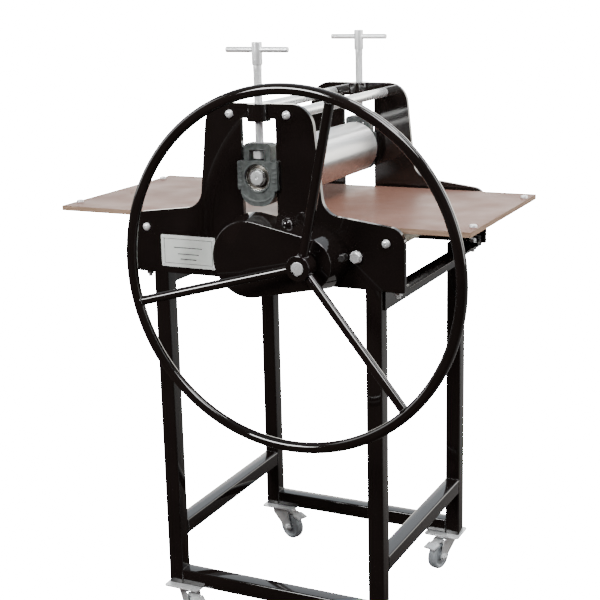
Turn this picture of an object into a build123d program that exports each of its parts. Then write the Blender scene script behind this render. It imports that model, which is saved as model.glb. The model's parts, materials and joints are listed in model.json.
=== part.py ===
from build123d import *
import math
import os

# Etching press on a castored stand, in millimetres.
# Working frame: X along the bed travel, Y from the handwheel side to the far side, Z up.
# Its zero is the roller axis (X), the outer face of the front side plate (Y) and the stand top (Z).
# Everything is shifted at the end so that the origin is the middle of the footprint, on the floor.

# ---- overall sizes ----
plate_length = 714.0
plate_height = 414.0
plate_thickness = 12.0
plate_spacing = 573.0
leg_length = 830.0
bed_length = 1085.0
bed_width = 530.0
wheel_tube_centre_radius = 398.0

# ---- side plates ----
wing_end_height = 143.0
wing_root_height = 168.0
neck_root_half = 160.0
neck_top_half = 134.0
wing_end_radius = 38.0
neck_root_radius = 46.0
shoulder_radius = 55.0
slot_half = 44.5
slot_bottom = 134.0
slot_top = 380.0
slot_corner_radius = 4.0

# ---- rollers and bed ----
bottom_roller_radius = 62.5
bottom_roller_height = 66.0
top_roller_radius = 66.5
roller_wall = 12.0
roller_face_length = 520.0
top_roller_face_length = 510.0
roller_end_thickness = 15.0
bottom_journal_radius = 17.5
top_journal_radius = 16.0
roller_core_radius = 20.0
bed_thickness = 12.0
bed_rest_offset = -45.0
nip_opening = 38.0
contact_gap = 0.3
running_gap = 0.05
support_roller_radius = 18.7
support_axle_radius = 8.0
support_roller_x = 313.0
support_end_gap = 4.0
bearing_spigot_wall = 14.0
bearing_flange_width = 14.0
bearing_flange_thickness = 8.0
shaft_end_length = 3.0
bed_corner_radius = 3.0
stop_inset = 14.0
stop_from_edge = 62.0
stop_bolt_radius = 5.0
stop_head_radius = 9.0
stop_head_height = 6.0
stop_head_rounding = 2.5
bed_hole_radius = 4.0
bed_hole_from_end = 64.0
bed_hole_from_edge = 226.0

# ---- take-up bearing housings ----
housing_depth = 37.0
housing_groove_gap = 0.5
housing_above_axis = 79.0
housing_below_axis = 66.0
housing_head_half = 34.5
housing_rail_half = 51.0
housing_rail_top = 38.0
housing_rail_bottom = -29.0
housing_slot_gap = 0.5
insert_radius = 31.0
insert_depth = 30.0
insert_lip_width = 6.0
insert_lip_depth = 3.0
rail_corner_radius = 4.0
head_corner_radius = 10.0
foot_corner_radius = 36.0
head_step = 3.0
foot_step = 1.0
nut_window_half = 19.0
nut_window_bottom = 40.0
nut_window_top = 64.0

# ---- pressure screws ----
screw_radius = 10.0
screw_pitch = 4.0
tee_axis_above_plate = 120.0
tee_bar_radius = 6.5
tee_bar_length = 157.0
tee_boss_radius = 12.0
tee_boss_above_bar = 17.0
tee_boss_below_bar = 34.0
tee_boss_chamfer = 1.0
tee_bar_rounding = 1.5
spigot_radius = 7.0
spigot_length = 18.0
screw_boss_radius = 27.0
screw_boss_height = 40.0
screw_nut_flats = 30.0
screw_nut_height = 16.0

# ---- gear drive and handwheel ----
gear_module = 3.0
gear_teeth = 60
pinion_teeth = 40
gear_width = 20.0
gear_plate_gap = 13.0
web_hole_count = 6
web_hole_radius = 15.0
web_hole_circle = 52.0
tooth_thinning = 0.25
pressure_angle = math.radians(20)
drive_shaft_radius = 15.0
sleeve_radius = 25.0
sleeve_length = 80.0
sleeve_flange_width = 10.0
sleeve_flange_thickness = 8.0
collar_gap = 1.0
collar_length = 10.0
collar_width = 8.0
shaft_end_proud = 2.0
guard_hole_gap = 5.0
knob_reach = 88.0
knob_depth = 38.0
knob_radius = 15.0
knob_stem_radius = 5.0
knob_rise = 15.5
guard_depth = 75.0
guard_wall = 2.5
guard_big_radius = 103.0
guard_small_radius = 73.0
guard_taper = 10.0
guard_edge_radius = 3.0
guard_hub_gap = 5.0
guard_notch_gap = 3.0
hub_radius = 29.0
hub_length = 42.0
hub_chamfer = 2.0
wheel_tube_radius = 12.5
spoke_radius = 11.0
wheel_dish = 70.0
spoke_angles = (74, 194, 314)

# ---- tie rods and fasteners ----
tie_rod_radius = 12.5
tie_top_x = 73.0
tie_top_z = 389.0
tie_low_x = 240.0
tie_low_z = 74.0
bolt_radius = 6.0
bolt_reach = 25.0
dome_radius = 10.0
dome_height = 8.0
big_bolt_flats = 24.0
big_bolt_height = 8.0
big_washer_radius = 15.0
big_washer_thickness = 2.5
countersink_radius = 12.0

# ---- stand ----
tube_size = 40.0
tube_wall = 2.5
tube_corner = 4.0
stand_half = 300.0
side_rail_rise = 165.0
angle_size = 48.0
angle_thickness = 5.0
angle_end_gap = 2.0
lug_size = 40.0
lug_thickness = 8.0
lug_bolt_x = 330.0
lug_bolt_radius = 5.0
lug_bolt_flats = 17.0
lug_bolt_head = 7.0
lug_bolt_tail = 16.0
lug_nut_height = 9.0

# ---- nameplate ----
nameplate_left = -274.0
nameplate_low = 16.0
nameplate_width = 150.0
nameplate_height = 78.0
nameplate_thickness = 1.5
nameplate_corner = 3.0
rivet_inset = 6.0
rivet_radius = 1.5
rivet_head_radius = 3.0

# ---- castors ----
castor_height = 100.0
castor_plate_x = 100.0
castor_plate_y = 84.0
castor_plate_thickness = 4.0
castor_plate_corner = 8.0
castor_overhang = 5.0
castor_wheel_radius = 37.5
castor_wheel_width = 25.0
castor_trail = 36.0
castor_axle_radius = 5.0
kingpin_radius = 6.0
race_radius = 27.0
race_depth = 12.0
fork_sheet = 3.0
fork_inner_half = 16.0
pedal_pivot = (30.0, -22.0)
pedal_pin_radius = 3.0
pedal_half = 12.0
pedal_pad_extra = 6.0
axle_nut_radius = 7.0
axle_nut_height = 5.0
wheel_side_gap = 0.5
pedal_travel = 10.0
castor_angles = {"front_left": -40, "front_right": -75, "rear_left": -20, "rear_right": -105}

# ---- derived places ----
rear_y = plate_thickness + plate_spacing
total_y = rear_y + plate_thickness
mid_y = total_y / 2
bed_bottom = bottom_roller_height + bottom_roller_radius + contact_gap
bed_top = bed_bottom + bed_thickness
top_axis_height = bed_top + nip_opening + top_roller_radius
support_height = bed_bottom - contact_gap - support_roller_radius
wheel_x = gear_module * (gear_teeth + pinion_teeth) / 2
wheel_z = bottom_roller_height
hub_back = -guard_depth - guard_hub_gap
hub_front = hub_back - hub_length
hub_mid = (hub_back + hub_front) / 2
rim_y = hub_mid - wheel_dish
tee_height = plate_height + tee_axis_above_plate

nodes = {}


def box(x0, x1, y0, y1, z0, z1):
    centre = ((x0 + x1) / 2, (y0 + y1) / 2, (z0 + z1) / 2)
    return Pos(*centre) * Box(abs(x1 - x0), abs(y1 - y0), abs(z1 - z0))


def rod_x(y, z, x0, x1, radius):
    return Pos((x0 + x1) / 2, y, z) * Rot(0, 90, 0) * Cylinder(radius, abs(x1 - x0))


def rod_y(x, z, y0, y1, radius):
    return Pos(x, (y0 + y1) / 2, z) * Rot(90, 0, 0) * Cylinder(radius, abs(y1 - y0))


def rod_z(x, y, z0, z1, radius):
    return Pos(x, y, (z0 + z1) / 2) * Cylinder(radius, abs(z1 - z0))


def slab(face, y0, y1):
    """A flat outline drawn in X and Z, given thickness from y0 to y1."""
    return extrude(Plane.XZ.offset(-y1) * face, amount=y1 - y0)


def rounded_face(corners):
    """A closed outline from (x, z, corner radius) triples."""
    face = make_face(Polyline(*[(x, z) for x, z, radius in corners], close=True))
    for x, z, radius in corners:
        if radius:
            corner = face.vertices().sort_by_distance(Vector(x, z, 0))[0]
            face = fillet([corner], radius)
    return face


def hex_prism_y(x, z, y0, y1, flats):
    return slab(Pos(x, z) * RegularPolygon(flats / 2, 6, major_radius=False), y0, y1)


def square_tube(length):
    """A tube of the stand, centred on its own axis along Z."""
    outer = RectangleRounded(tube_size, tube_size, tube_corner)
    inner_size = tube_size - 2 * tube_wall
    inner = RectangleRounded(inner_size, inner_size, tube_corner - tube_wall)
    return Pos(0, 0, -length / 2) * extrude(outer - inner, amount=length)


# ---- stand ----

def make_stand():
    leg_centre = stand_half - tube_size / 2
    front_leg_y = tube_size / 2
    rear_leg_y = total_y - tube_size / 2
    for side, x in (("left", -leg_centre), ("right", leg_centre)):
        for end, y in (("front", front_leg_y), ("rear", rear_leg_y)):
            nodes[f"leg_{end}_{side}"] = Pos(x, y, -leg_length / 2) * square_tube(leg_length)
        span = rear_leg_y - front_leg_y - tube_size
        rail_z = -leg_length + side_rail_rise - tube_size / 2
        nodes[f"side_rail_{side}"] = Pos(x, mid_y, rail_z) * Rot(90, 0, 0) * square_tube(span)
    low_z = -leg_length + tube_size / 2
    for end, y in (("front", front_leg_y), ("rear", rear_leg_y)):
        length = 2 * leg_centre - tube_size
        nodes[f"low_rail_{end}"] = Pos(0, y, low_z) * Rot(0, 90, 0) * square_tube(length)


def make_base_angles():
    """Angle irons along the leg tops: the press head is bolted down to their ledges."""
    y0 = plate_thickness + angle_end_gap
    y1 = rear_y - angle_end_gap
    bolt_ys = lug_bolt_places()
    for side, sign in (("left", -1), ("right", 1)):
        outer = sign * (stand_half + angle_size)
        ledge = box(sign * stand_half, outer, y0, y1, -angle_thickness, 0)
        web_outer = sign * (stand_half + angle_thickness)
        web = box(sign * stand_half, web_outer, y0, y1, -angle_size, 0)
        bar = ledge + web
        for y in bolt_ys:
            bar -= rod_z(sign * lug_bolt_x, y, -angle_thickness - 1, 1, lug_bolt_radius)
        nodes[f"base_angle_{side}"] = bar


def lug_bolt_places():
    reach = plate_thickness + lug_size / 2
    return (reach, total_y - reach)


def make_lugs_and_bolts():
    lugs = []
    bolts = []
    for x in (-lug_bolt_x, lug_bolt_x):
        for y in lug_bolt_places():
            half = lug_size / 2
            lug = box(x - half, x + half, y - half, y + half, 0, lug_thickness)
            lugs.append(lug - rod_z(x, y, -1, lug_thickness + 1, lug_bolt_radius))
            flats = RegularPolygon(lug_bolt_flats / 2, 6, major_radius=False)
            head = Pos(x, y, lug_thickness) * extrude(flats, amount=lug_bolt_head)
            shank = rod_z(x, y, -angle_thickness - lug_bolt_tail, lug_thickness, lug_bolt_radius)
            nut = Pos(x, y, -angle_thickness - lug_nut_height) * extrude(flats, amount=lug_nut_height)
            bolts.append(head + shank + nut)
    nodes["foot_lugs"] = Compound(children=lugs)
    nodes["foot_bolts"] = Compound(children=bolts)


# ---- press head ----

def plate_outline():
    half = plate_length / 2
    right = [
        (half, 0, 2),
        (half, wing_end_height, wing_end_radius),
        (neck_root_half, wing_root_height, neck_root_radius),
        (neck_top_half, plate_height, shoulder_radius),
    ]
    left = [(-x, z, radius) for x, z, radius in reversed(right)]
    return rounded_face(right + left)


def make_side_plates():
    slot = rounded_face([
        (-slot_half, slot_bottom, slot_corner_radius),
        (slot_half, slot_bottom, slot_corner_radius),
        (slot_half, slot_top, slot_corner_radius),
        (-slot_half, slot_top, slot_corner_radius),
    ])
    for end, y in (("front", 0), ("rear", rear_y)):
        y1 = y + plate_thickness
        plate = slab(plate_outline(), y, y1) - slab(slot, y - 1, y1 + 1)
        plate -= rod_z(0, y + plate_thickness / 2, plate_height - screw_boss_height,
                       plate_height + 1, screw_boss_radius)
        plate -= rod_y(0, bottom_roller_height, y - 1, y1 + 1, bearing_spigot_radius())
        for x, z in bolt_places():
            plate -= rod_y(x, z, y - 1, y1 + 1, bolt_radius)
        if end == "front":
            plate -= rod_y(wheel_x, wheel_z, y - 1, y1 + 1, sleeve_radius)
            cone = Pos(-tie_low_x, bolt_radius / 2, tie_low_z) * Rot(90, 0, 0)
            cone *= Cone(bolt_radius, countersink_radius, bolt_radius)
            plate -= cone
        nodes[f"side_plate_{end}"] = plate


def bolt_places():
    top = [(-tie_top_x, tie_top_z), (tie_top_x, tie_top_z)]
    low = [(-tie_low_x, tie_low_z), (tie_low_x, tie_low_z)]
    wing = [(-support_roller_x, support_height), (support_roller_x, support_height)]
    return top + low + wing


def make_tie_rods():
    rods = []
    for x, z in bolt_places()[:4]:
        rod = rod_y(x, z, plate_thickness, rear_y, tie_rod_radius)
        rods.append(cut_tapped_ends(rod, x, z))
    nodes["tie_rods"] = Compound(children=rods)
    axles = []
    for x, z in bolt_places()[4:]:
        rod = rod_y(x, z, plate_thickness, rear_y, support_axle_radius)
        axles.append(cut_tapped_ends(rod, x, z, bolt_radius))
    nodes["support_axles"] = Compound(children=axles)


def cut_tapped_ends(rod, x, z, radius=bolt_radius):
    rod -= rod_y(x, z, plate_thickness, plate_thickness + bolt_reach, radius)
    return rod - rod_y(x, z, rear_y - bolt_reach, rear_y, radius)


def dome_head(x, z, y, outward):
    """A low dome on a plate face at y; outward is -1 at the front and 1 at the rear."""
    sphere_radius = (dome_radius ** 2 + dome_height ** 2) / (2 * dome_height)
    centre = y - outward * (sphere_radius - dome_height)
    keep = rod_y(x, z, y, y + outward * dome_height, dome_radius)
    return Pos(x, centre, z) * Sphere(sphere_radius) & keep


def make_plate_bolts():
    domes = []
    wide = []
    for face_y, outward in ((0, -1), (total_y, 1)):
        inner_y = face_y - outward * (plate_thickness + bolt_reach)
        for x, z in bolt_places():
            shank = rod_y(x, z, face_y, inner_y, bolt_radius)
            if z != tie_low_z:
                domes.append(shank + dome_head(x, z, face_y, outward))
            elif x < 0 and outward < 0:
                cone = Pos(x, bolt_radius / 2, z) * Rot(90, 0, 0)
                cone *= Cone(bolt_radius, countersink_radius, bolt_radius)
                wide.append(shank + cone)
            else:
                washer_y = face_y + outward * big_washer_thickness
                head_y = washer_y + outward * big_bolt_height
                washer = rod_y(x, z, face_y, washer_y, big_washer_radius)
                head = hex_prism_y(x, z, min(washer_y, head_y), max(washer_y, head_y), big_bolt_flats)
                wide.append(shank + washer + head)
    nodes["dome_bolts"] = Compound(children=domes)
    nodes["tie_bolts"] = Compound(children=wide)


def make_screw_bosses():
    bosses = []
    for y in (plate_thickness / 2, rear_y + plate_thickness / 2):
        low = plate_height - screw_boss_height
        boss = rod_z(0, y, low, plate_height, screw_boss_radius)
        boss -= rod_z(0, y, low - 1, plate_height + 1, screw_radius + running_gap)
        bosses.append(boss)
    nodes["screw_bosses"] = Compound(children=bosses)


# ---- rollers ----

def bearing_spigot_radius():
    return bottom_journal_radius + bearing_spigot_wall


def make_roller_bearings():
    bearings = []
    flange_radius = bearing_spigot_radius() + bearing_flange_width
    for y, inward in ((0, 1), (total_y, -1)):
        inner_face = y + inward * plate_thickness
        spigot = rod_y(0, bottom_roller_height, y, inner_face, bearing_spigot_radius())
        flange_face = inner_face + inward * bearing_flange_thickness
        flange = rod_y(0, bottom_roller_height, inner_face, flange_face, flange_radius)
        bore = rod_y(0, bottom_roller_height, y - inward, flange_face + inward,
                     bottom_journal_radius + running_gap)
        bearings.append(spigot + flange - bore)
    nodes["roller_bearings"] = Compound(children=bearings)


def roller_shell(height, radius, face_length):
    y0 = mid_y - face_length / 2
    y1 = mid_y + face_length / 2
    shell = rod_y(0, height, y0, y1, radius)
    hollow = rod_y(0, height, y0 + roller_end_thickness, y1 - roller_end_thickness,
                   radius - roller_wall)
    return shell - hollow - rod_y(0, height, y0 - 1, y1 + 1, roller_core_radius)


def stepped_shaft(height, face_length, journal_radius, y0, y1):
    core_y0 = mid_y - face_length / 2
    core_y1 = mid_y + face_length / 2
    core = rod_y(0, height, core_y0, core_y1, roller_core_radius)
    return core + rod_y(0, height, y0, y1, journal_radius)


def make_rollers():
    z = bottom_roller_height
    nodes["bottom_roller"] = roller_shell(z, bottom_roller_radius, roller_face_length)
    gear_front = -gear_plate_gap - gear_width
    nodes["bottom_shaft"] = stepped_shaft(z, roller_face_length, bottom_journal_radius,
                                          gear_front - shaft_end_length, total_y + shaft_end_length)
    z = top_axis_height
    nodes["top_roller"] = roller_shell(z, top_roller_radius, top_roller_face_length)
    far_end = housing_front(rear_y) + housing_depth + shaft_end_length
    nodes["top_shaft"] = stepped_shaft(z, top_roller_face_length, top_journal_radius,
                                       housing_front(0) - shaft_end_length, far_end)
    length = plate_spacing - 2 * support_end_gap
    for side, sign in (("left", -1), ("right", 1)):
        x = sign * support_roller_x
        y0 = mid_y - length / 2
        y1 = mid_y + length / 2
        roller = rod_y(x, support_height, y0, y1, support_roller_radius)
        roller -= rod_y(x, support_height, y0 - 1, y1 + 1, support_axle_radius + running_gap)
        nodes[f"support_roller_{side}"] = roller


# ---- bed ----

def make_bed():
    x0 = bed_rest_offset - bed_length / 2
    x1 = bed_rest_offset + bed_length / 2
    y0 = mid_y - bed_width / 2
    board = box(x0, x1, y0, y0 + bed_width, bed_bottom, bed_top)
    board = fillet(board.edges().filter_by(Axis.Z), bed_corner_radius)
    stops = []
    for x in (x0 + stop_inset, x1 - stop_inset):
        for y in (y0 + stop_from_edge, y0 + bed_width - stop_from_edge):
            board -= rod_z(x, y, bed_bottom - 1, bed_top + 1, stop_bolt_radius)
            shank = rod_z(x, y, bed_bottom, bed_top, stop_bolt_radius)
            head = rod_z(x, y, bed_top, bed_top + stop_head_height, stop_head_radius)
            top_edge = head.edges().filter_by(GeomType.CIRCLE).sort_by(Axis.Z)[-1:]
            head = fillet(top_edge, stop_head_rounding)
            stops.append(shank + head)
    board -= rod_z(x0 + bed_hole_from_end, y0 + bed_hole_from_edge, bed_bottom - 1, bed_top + 1,
                   bed_hole_radius)
    nodes["bed_board"] = board
    nodes["bed_stop_bolts"] = Compound(children=stops)


# ---- take-up housings and pressure screws ----

def housing_front(plate_y):
    return plate_y + plate_thickness / 2 - housing_depth / 2


def make_housing(plate_y):
    """Cast block that slides in the plate's slot: its side rails grip both faces of the plate."""
    z = top_axis_height
    y0 = housing_front(plate_y)
    y1 = y0 + housing_depth
    slide_half = slot_half - housing_slot_gap
    head = rounded_face([
        (-housing_head_half, z, 0),
        (housing_head_half, z, 0),
        (housing_head_half, z + housing_above_axis, head_corner_radius),
        (-housing_head_half, z + housing_above_axis, head_corner_radius),
    ])
    foot = rounded_face([
        (-slide_half, z + housing_rail_top, 0),
        (-slide_half, z - housing_below_axis, foot_corner_radius),
        (slide_half, z - housing_below_axis, foot_corner_radius),
        (slide_half, z + housing_rail_top, 0),
    ])
    rails = rounded_face([
        (-housing_rail_half, z + housing_rail_bottom, rail_corner_radius),
        (housing_rail_half, z + housing_rail_bottom, rail_corner_radius),
        (housing_rail_half, z + housing_rail_top, rail_corner_radius),
        (-housing_rail_half, z + housing_rail_top, rail_corner_radius),
    ])
    body = slab(head, y0 + head_step, y1 - head_step) + slab(rails, y0, y1)
    body += slab(foot, y0 + foot_step, y1 - foot_step)
    for side in (-1, 1):
        body -= box(side * slide_half, side * (housing_rail_half + 5),
                    plate_y - housing_groove_gap, plate_y + plate_thickness + housing_groove_gap,
                    z + housing_rail_bottom - 5, z + housing_rail_top + 5)
    body -= rod_y(0, z, y0 - 1, y1 + 1, insert_radius)
    body -= box(-nut_window_half, nut_window_half, y0 - 1, y1 + 1,
                z + nut_window_bottom, z + nut_window_top)
    screw_y = plate_y + plate_thickness / 2
    body -= rod_z(0, screw_y, z + nut_window_top - 1, z + housing_above_axis + 1,
                  screw_radius + running_gap)
    return body


def make_inserts():
    rings = []
    for plate_y in (0, rear_y):
        y0 = plate_y + plate_thickness / 2 - insert_depth / 2
        ring = rod_y(0, top_axis_height, y0, y0 + insert_depth, insert_radius)
        lip_y0 = y0 - insert_lip_depth
        lip_y1 = y0 + insert_depth + insert_lip_depth
        inner_lip = rod_y(0, top_axis_height, lip_y0, lip_y1, top_journal_radius + insert_lip_width)
        bore = rod_y(0, top_axis_height, lip_y0 - 1, lip_y1 + 1, top_journal_radius + running_gap)
        rings.append(ring + inner_lip - bore)
    nodes["bearing_inserts"] = Compound(children=rings)


def make_pressure_screws():
    nut_low = top_axis_height + (nut_window_bottom + nut_window_top - screw_nut_height) / 2
    for end, plate_y in (("front", 0), ("rear", rear_y)):
        nodes[f"takeup_housing_{end}"] = make_housing(plate_y)
        y = plate_y + plate_thickness / 2
        boss_low = tee_height - tee_boss_below_bar
        boss_high = tee_height + tee_boss_above_bar
        screw = rod_z(0, y, nut_low - 2, boss_low, screw_radius)
        screw += rod_z(0, y, boss_low, boss_low + spigot_length, spigot_radius)
        flats = RegularPolygon(screw_nut_flats / 2, 6, major_radius=False)
        screw += Pos(0, y, nut_low) * extrude(flats, amount=screw_nut_height)
        nodes[f"pressure_screw_{end}"] = screw
        boss = rod_z(0, y, boss_low, boss_high, tee_boss_radius)
        boss = chamfer(boss.edges().filter_by(GeomType.CIRCLE), tee_boss_chamfer)
        bar = rod_x(y, tee_height, -tee_bar_length / 2, tee_bar_length / 2, tee_bar_radius)
        bar = fillet(bar.edges().filter_by(GeomType.CIRCLE), tee_bar_rounding)
        socket = rod_z(0, y, boss_low - 1, boss_low + spigot_length, spigot_radius)
        nodes[f"tee_handle_{end}"] = boss + bar - socket


# ---- gear drive ----

def gear_face(teeth, tooth_phase):
    """Involute outline; tooth_phase turns the first tooth away from +X, in radians."""
    pitch_radius = gear_module * teeth / 2
    base_radius = pitch_radius * math.cos(pressure_angle)
    tip_radius = pitch_radius + gear_module
    root_radius = pitch_radius - 1.25 * gear_module
    flank_low = max(base_radius, root_radius)
    half_at_pitch = math.pi / (2 * teeth) - tooth_thinning / (2 * pitch_radius)
    involute_at_pitch = math.tan(pressure_angle) - pressure_angle
    flank = []
    steps = 4
    for step in range(steps + 1):
        radius = flank_low + (tip_radius - flank_low) * step / steps
        angle = math.acos(min(1, base_radius / radius))
        flank.append((radius, half_at_pitch + involute_at_pitch - (math.tan(angle) - angle)))
    if base_radius > root_radius:
        flank.insert(0, (root_radius, flank[0][1]))
    points = []
    for tooth in range(teeth):
        middle = tooth_phase + 2 * math.pi * tooth / teeth
        for radius, half in flank:
            points.append((radius * math.cos(middle - half), radius * math.sin(middle - half)))
        for radius, half in reversed(flank):
            points.append((radius * math.cos(middle + half), radius * math.sin(middle + half)))
    return make_face(Polyline(*points, close=True))


def make_gears():
    y1 = -gear_plate_gap
    y0 = y1 - gear_width
    gear = slab(Pos(0, bottom_roller_height) * gear_face(gear_teeth, 0), y0, y1)
    gear -= rod_y(0, bottom_roller_height, y0 - 1, y1 + 1, bottom_journal_radius)
    for index in range(web_hole_count):
        angle = 2 * math.pi * index / web_hole_count
        gear -= rod_y(web_hole_circle * math.cos(angle),
                      bottom_roller_height + web_hole_circle * math.sin(angle),
                      y0 - 1, y1 + 1, web_hole_radius)
    nodes["drive_gear"] = gear
    half_tooth = math.pi / pinion_teeth
    pinion = slab(Pos(wheel_x, wheel_z) * gear_face(pinion_teeth, half_tooth), y0, y1)
    pinion -= rod_y(wheel_x, wheel_z, y0 - 1, y1 + 1, drive_shaft_radius)
    nodes["drive_pinion"] = pinion


def make_drive_shaft():
    sleeve = rod_y(wheel_x, wheel_z, 0, sleeve_length, sleeve_radius)
    sleeve += rod_y(wheel_x, wheel_z, plate_thickness, plate_thickness + sleeve_flange_thickness,
                    sleeve_radius + sleeve_flange_width)
    sleeve -= rod_y(wheel_x, wheel_z, -1, sleeve_length + 1, drive_shaft_radius + running_gap)
    nodes["drive_sleeve"] = sleeve
    collar_y = sleeve_length + collar_gap
    shaft = rod_y(wheel_x, wheel_z, hub_front - shaft_end_proud, collar_y, drive_shaft_radius)
    shaft += rod_y(wheel_x, wheel_z, collar_y, collar_y + collar_length,
                   drive_shaft_radius + collar_width)
    nodes["drive_shaft"] = shaft


def make_handwheel():
    rim = Pos(wheel_x, rim_y, wheel_z) * Rot(90, 0, 0) * Torus(wheel_tube_centre_radius,
                                                               wheel_tube_radius)
    hub = rod_y(wheel_x, wheel_z, hub_front, hub_back, hub_radius)
    hub = chamfer(hub.edges().filter_by(GeomType.CIRCLE), hub_chamfer)
    hub_solid = hub
    hub -= rod_y(wheel_x, wheel_z, hub_front - 1, hub_back + 1, drive_shaft_radius)
    spokes = []
    for degrees in spoke_angles:
        turn = math.radians(degrees)
        start = Vector(wheel_x, hub_mid, wheel_z)
        reach = Vector(math.cos(turn) * wheel_tube_centre_radius, rim_y - hub_mid,
                       math.sin(turn) * wheel_tube_centre_radius)
        line = Plane(origin=start, z_dir=reach.normalized())
        spoke = line * Pos(0, 0, reach.length / 2) * Cylinder(spoke_radius, reach.length)
        spokes.append(spoke - rim - hub_solid)
    nodes["wheel_rim"] = rim
    nodes["wheel_hub"] = hub
    nodes["wheel_spokes"] = Compound(children=[largest(spoke) for spoke in spokes])


def largest(shape):
    return sorted(shape.solids(), key=lambda solid: solid.volume)[-1]


def guard_face(inset):
    """Both gears' outline: two circles joined by their outer tangents."""
    big = guard_big_radius - inset
    small = guard_small_radius - inset
    lean = math.acos((big - small) / wheel_x)
    z = bottom_roller_height
    ends = []
    for x, radius in ((0, big), (wheel_x, small)):
        ends.append((x + radius * math.cos(lean), radius * math.sin(lean)))
    (bx, bz), (sx, sz) = ends
    outline = [
        Line((bx, z + bz), (sx, z + sz)),
        ThreePointArc((sx, z + sz), (wheel_x + small, z), (sx, z - sz)),
        Line((sx, z - sz), (bx, z - bz)),
        ThreePointArc((bx, z - bz), (-big, z), (bx, z + bz)),
    ]
    return make_face(outline)


def make_guard():
    outer = extrude(Plane.XZ * guard_face(0), amount=guard_depth, taper=guard_taper)
    front_edges = outer.faces().sort_by(Axis.Y)[0].edges()
    outer = fillet(front_edges, guard_edge_radius)
    inner = extrude(Plane.XZ * guard_face(guard_wall), amount=guard_depth - guard_wall,
                    taper=guard_taper)
    guard = outer - inner
    # a notch in its top edge lets the front take-up housing come down to the bed
    notch_half = slot_half + guard_notch_gap
    notch_depth = (housing_depth - plate_thickness) / 2 + 1
    notch_z = top_axis_height - nip_opening - housing_below_axis - guard_notch_gap
    guard -= box(-notch_half, notch_half, -notch_depth, 1, notch_z,
                 bottom_roller_height + guard_big_radius + 1)
    guard -= rod_y(wheel_x, wheel_z, -guard_depth - 1, -guard_depth + 4 * guard_wall,
                   drive_shaft_radius + guard_hole_gap)
    lean = math.asin((guard_big_radius - guard_small_radius) / wheel_x)
    slope = math.radians(guard_taper)
    normal = Vector(math.sin(lean) * math.cos(slope), -math.sin(slope),
                    math.cos(lean) * math.cos(slope))
    top_at = guard_big_radius - knob_depth * math.tan(slope)
    knob_z = bottom_roller_height + (top_at - knob_reach * math.sin(lean)) / math.cos(lean)
    seat = Plane(origin=(knob_reach, -knob_depth, knob_z), z_dir=normal)
    guard -= seat * Cylinder(knob_stem_radius, 8 * guard_wall)
    nodes["guard"] = guard
    stem_length = 3 * guard_wall
    stem = seat * Pos(0, 0, -stem_length / 2) * Cylinder(knob_stem_radius, stem_length)
    dome = (knob_radius ** 2 + knob_rise ** 2) / (2 * knob_rise)
    cap = seat * Pos(0, 0, knob_rise / 2) * Cylinder(knob_radius, knob_rise)
    nodes["guard_knob"] = stem + (cap & (seat * Pos(0, 0, knob_rise - dome) * Sphere(dome)))


# ---- nameplate ----

def make_nameplate():
    x0 = nameplate_left
    x1 = x0 + nameplate_width
    z0 = nameplate_low
    z1 = z0 + nameplate_height
    corners = [(x0, z0), (x1, z0), (x1, z1), (x0, z1)]
    face = rounded_face([(x, z, nameplate_corner) for x, z in corners])
    sheet = slab(face, -nameplate_thickness, 0)
    rivets = []
    for x in (x0 + rivet_inset, x1 - rivet_inset):
        for z in (z0 + rivet_inset, z1 - rivet_inset):
            sheet -= rod_y(x, z, -nameplate_thickness - 1, 1, rivet_radius)
            head = Pos(x, rivet_radius - nameplate_thickness, z) * Sphere(rivet_head_radius)
            head &= rod_y(x, z, -2 * rivet_head_radius, -nameplate_thickness, rivet_head_radius)
            rivets.append(rod_y(x, z, -nameplate_thickness, 0, rivet_radius) + head)
    nodes["nameplate"] = sheet
    nodes["nameplate_rivets"] = Compound(children=rivets)


# ---- castors ----

def castor_centres():
    x = stand_half + castor_overhang - castor_plate_x / 2
    y = tube_size / 2
    return {
        "front_left": (-x, y),
        "front_right": (x, y),
        "rear_left": (-x, total_y - y),
        "rear_right": (x, total_y - y),
    }


def castor_fork():
    """Swivel fork in its own frame: kingpin on Z, trail along X, plate top at zero."""
    race_low = -castor_plate_thickness - race_depth
    centre_z = castor_wheel_radius - castor_height
    fork = rod_z(0, 0, -castor_plate_thickness - contact_gap, race_low, race_radius)
    fork = chamfer(fork.edges().filter_by(GeomType.CIRCLE).sort_by(Axis.Z)[:1], 3)
    fork += rod_z(0, 0, race_low, -0.5, kingpin_radius)
    outer_half = fork_inner_half + fork_sheet
    fork += box(-24, 20, -outer_half, outer_half, race_low - fork_sheet, race_low)
    for side in (-1, 1):
        cheek = rounded_face([
            (-24, race_low, 0),
            (34, race_low, 6),
            (castor_trail + 13, centre_z, 10),
            (castor_trail + 8, centre_z - 10, 7),
            (castor_trail - 10, centre_z - 8, 7),
            (-24, race_low - 14, 6),
        ])
        y0 = min(side * fork_inner_half, side * outer_half)
        fork += slab(cheek, y0, y0 + fork_sheet)
        fork += rod_y(castor_trail, centre_z, side * outer_half,
                      side * (outer_half + axle_nut_height), axle_nut_radius)
    fork += rod_y(castor_trail, centre_z, -outer_half, outer_half, castor_axle_radius)
    px, pz = pedal_pivot
    return fork + rod_y(px, pz, -outer_half, outer_half, pedal_pin_radius)


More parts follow.
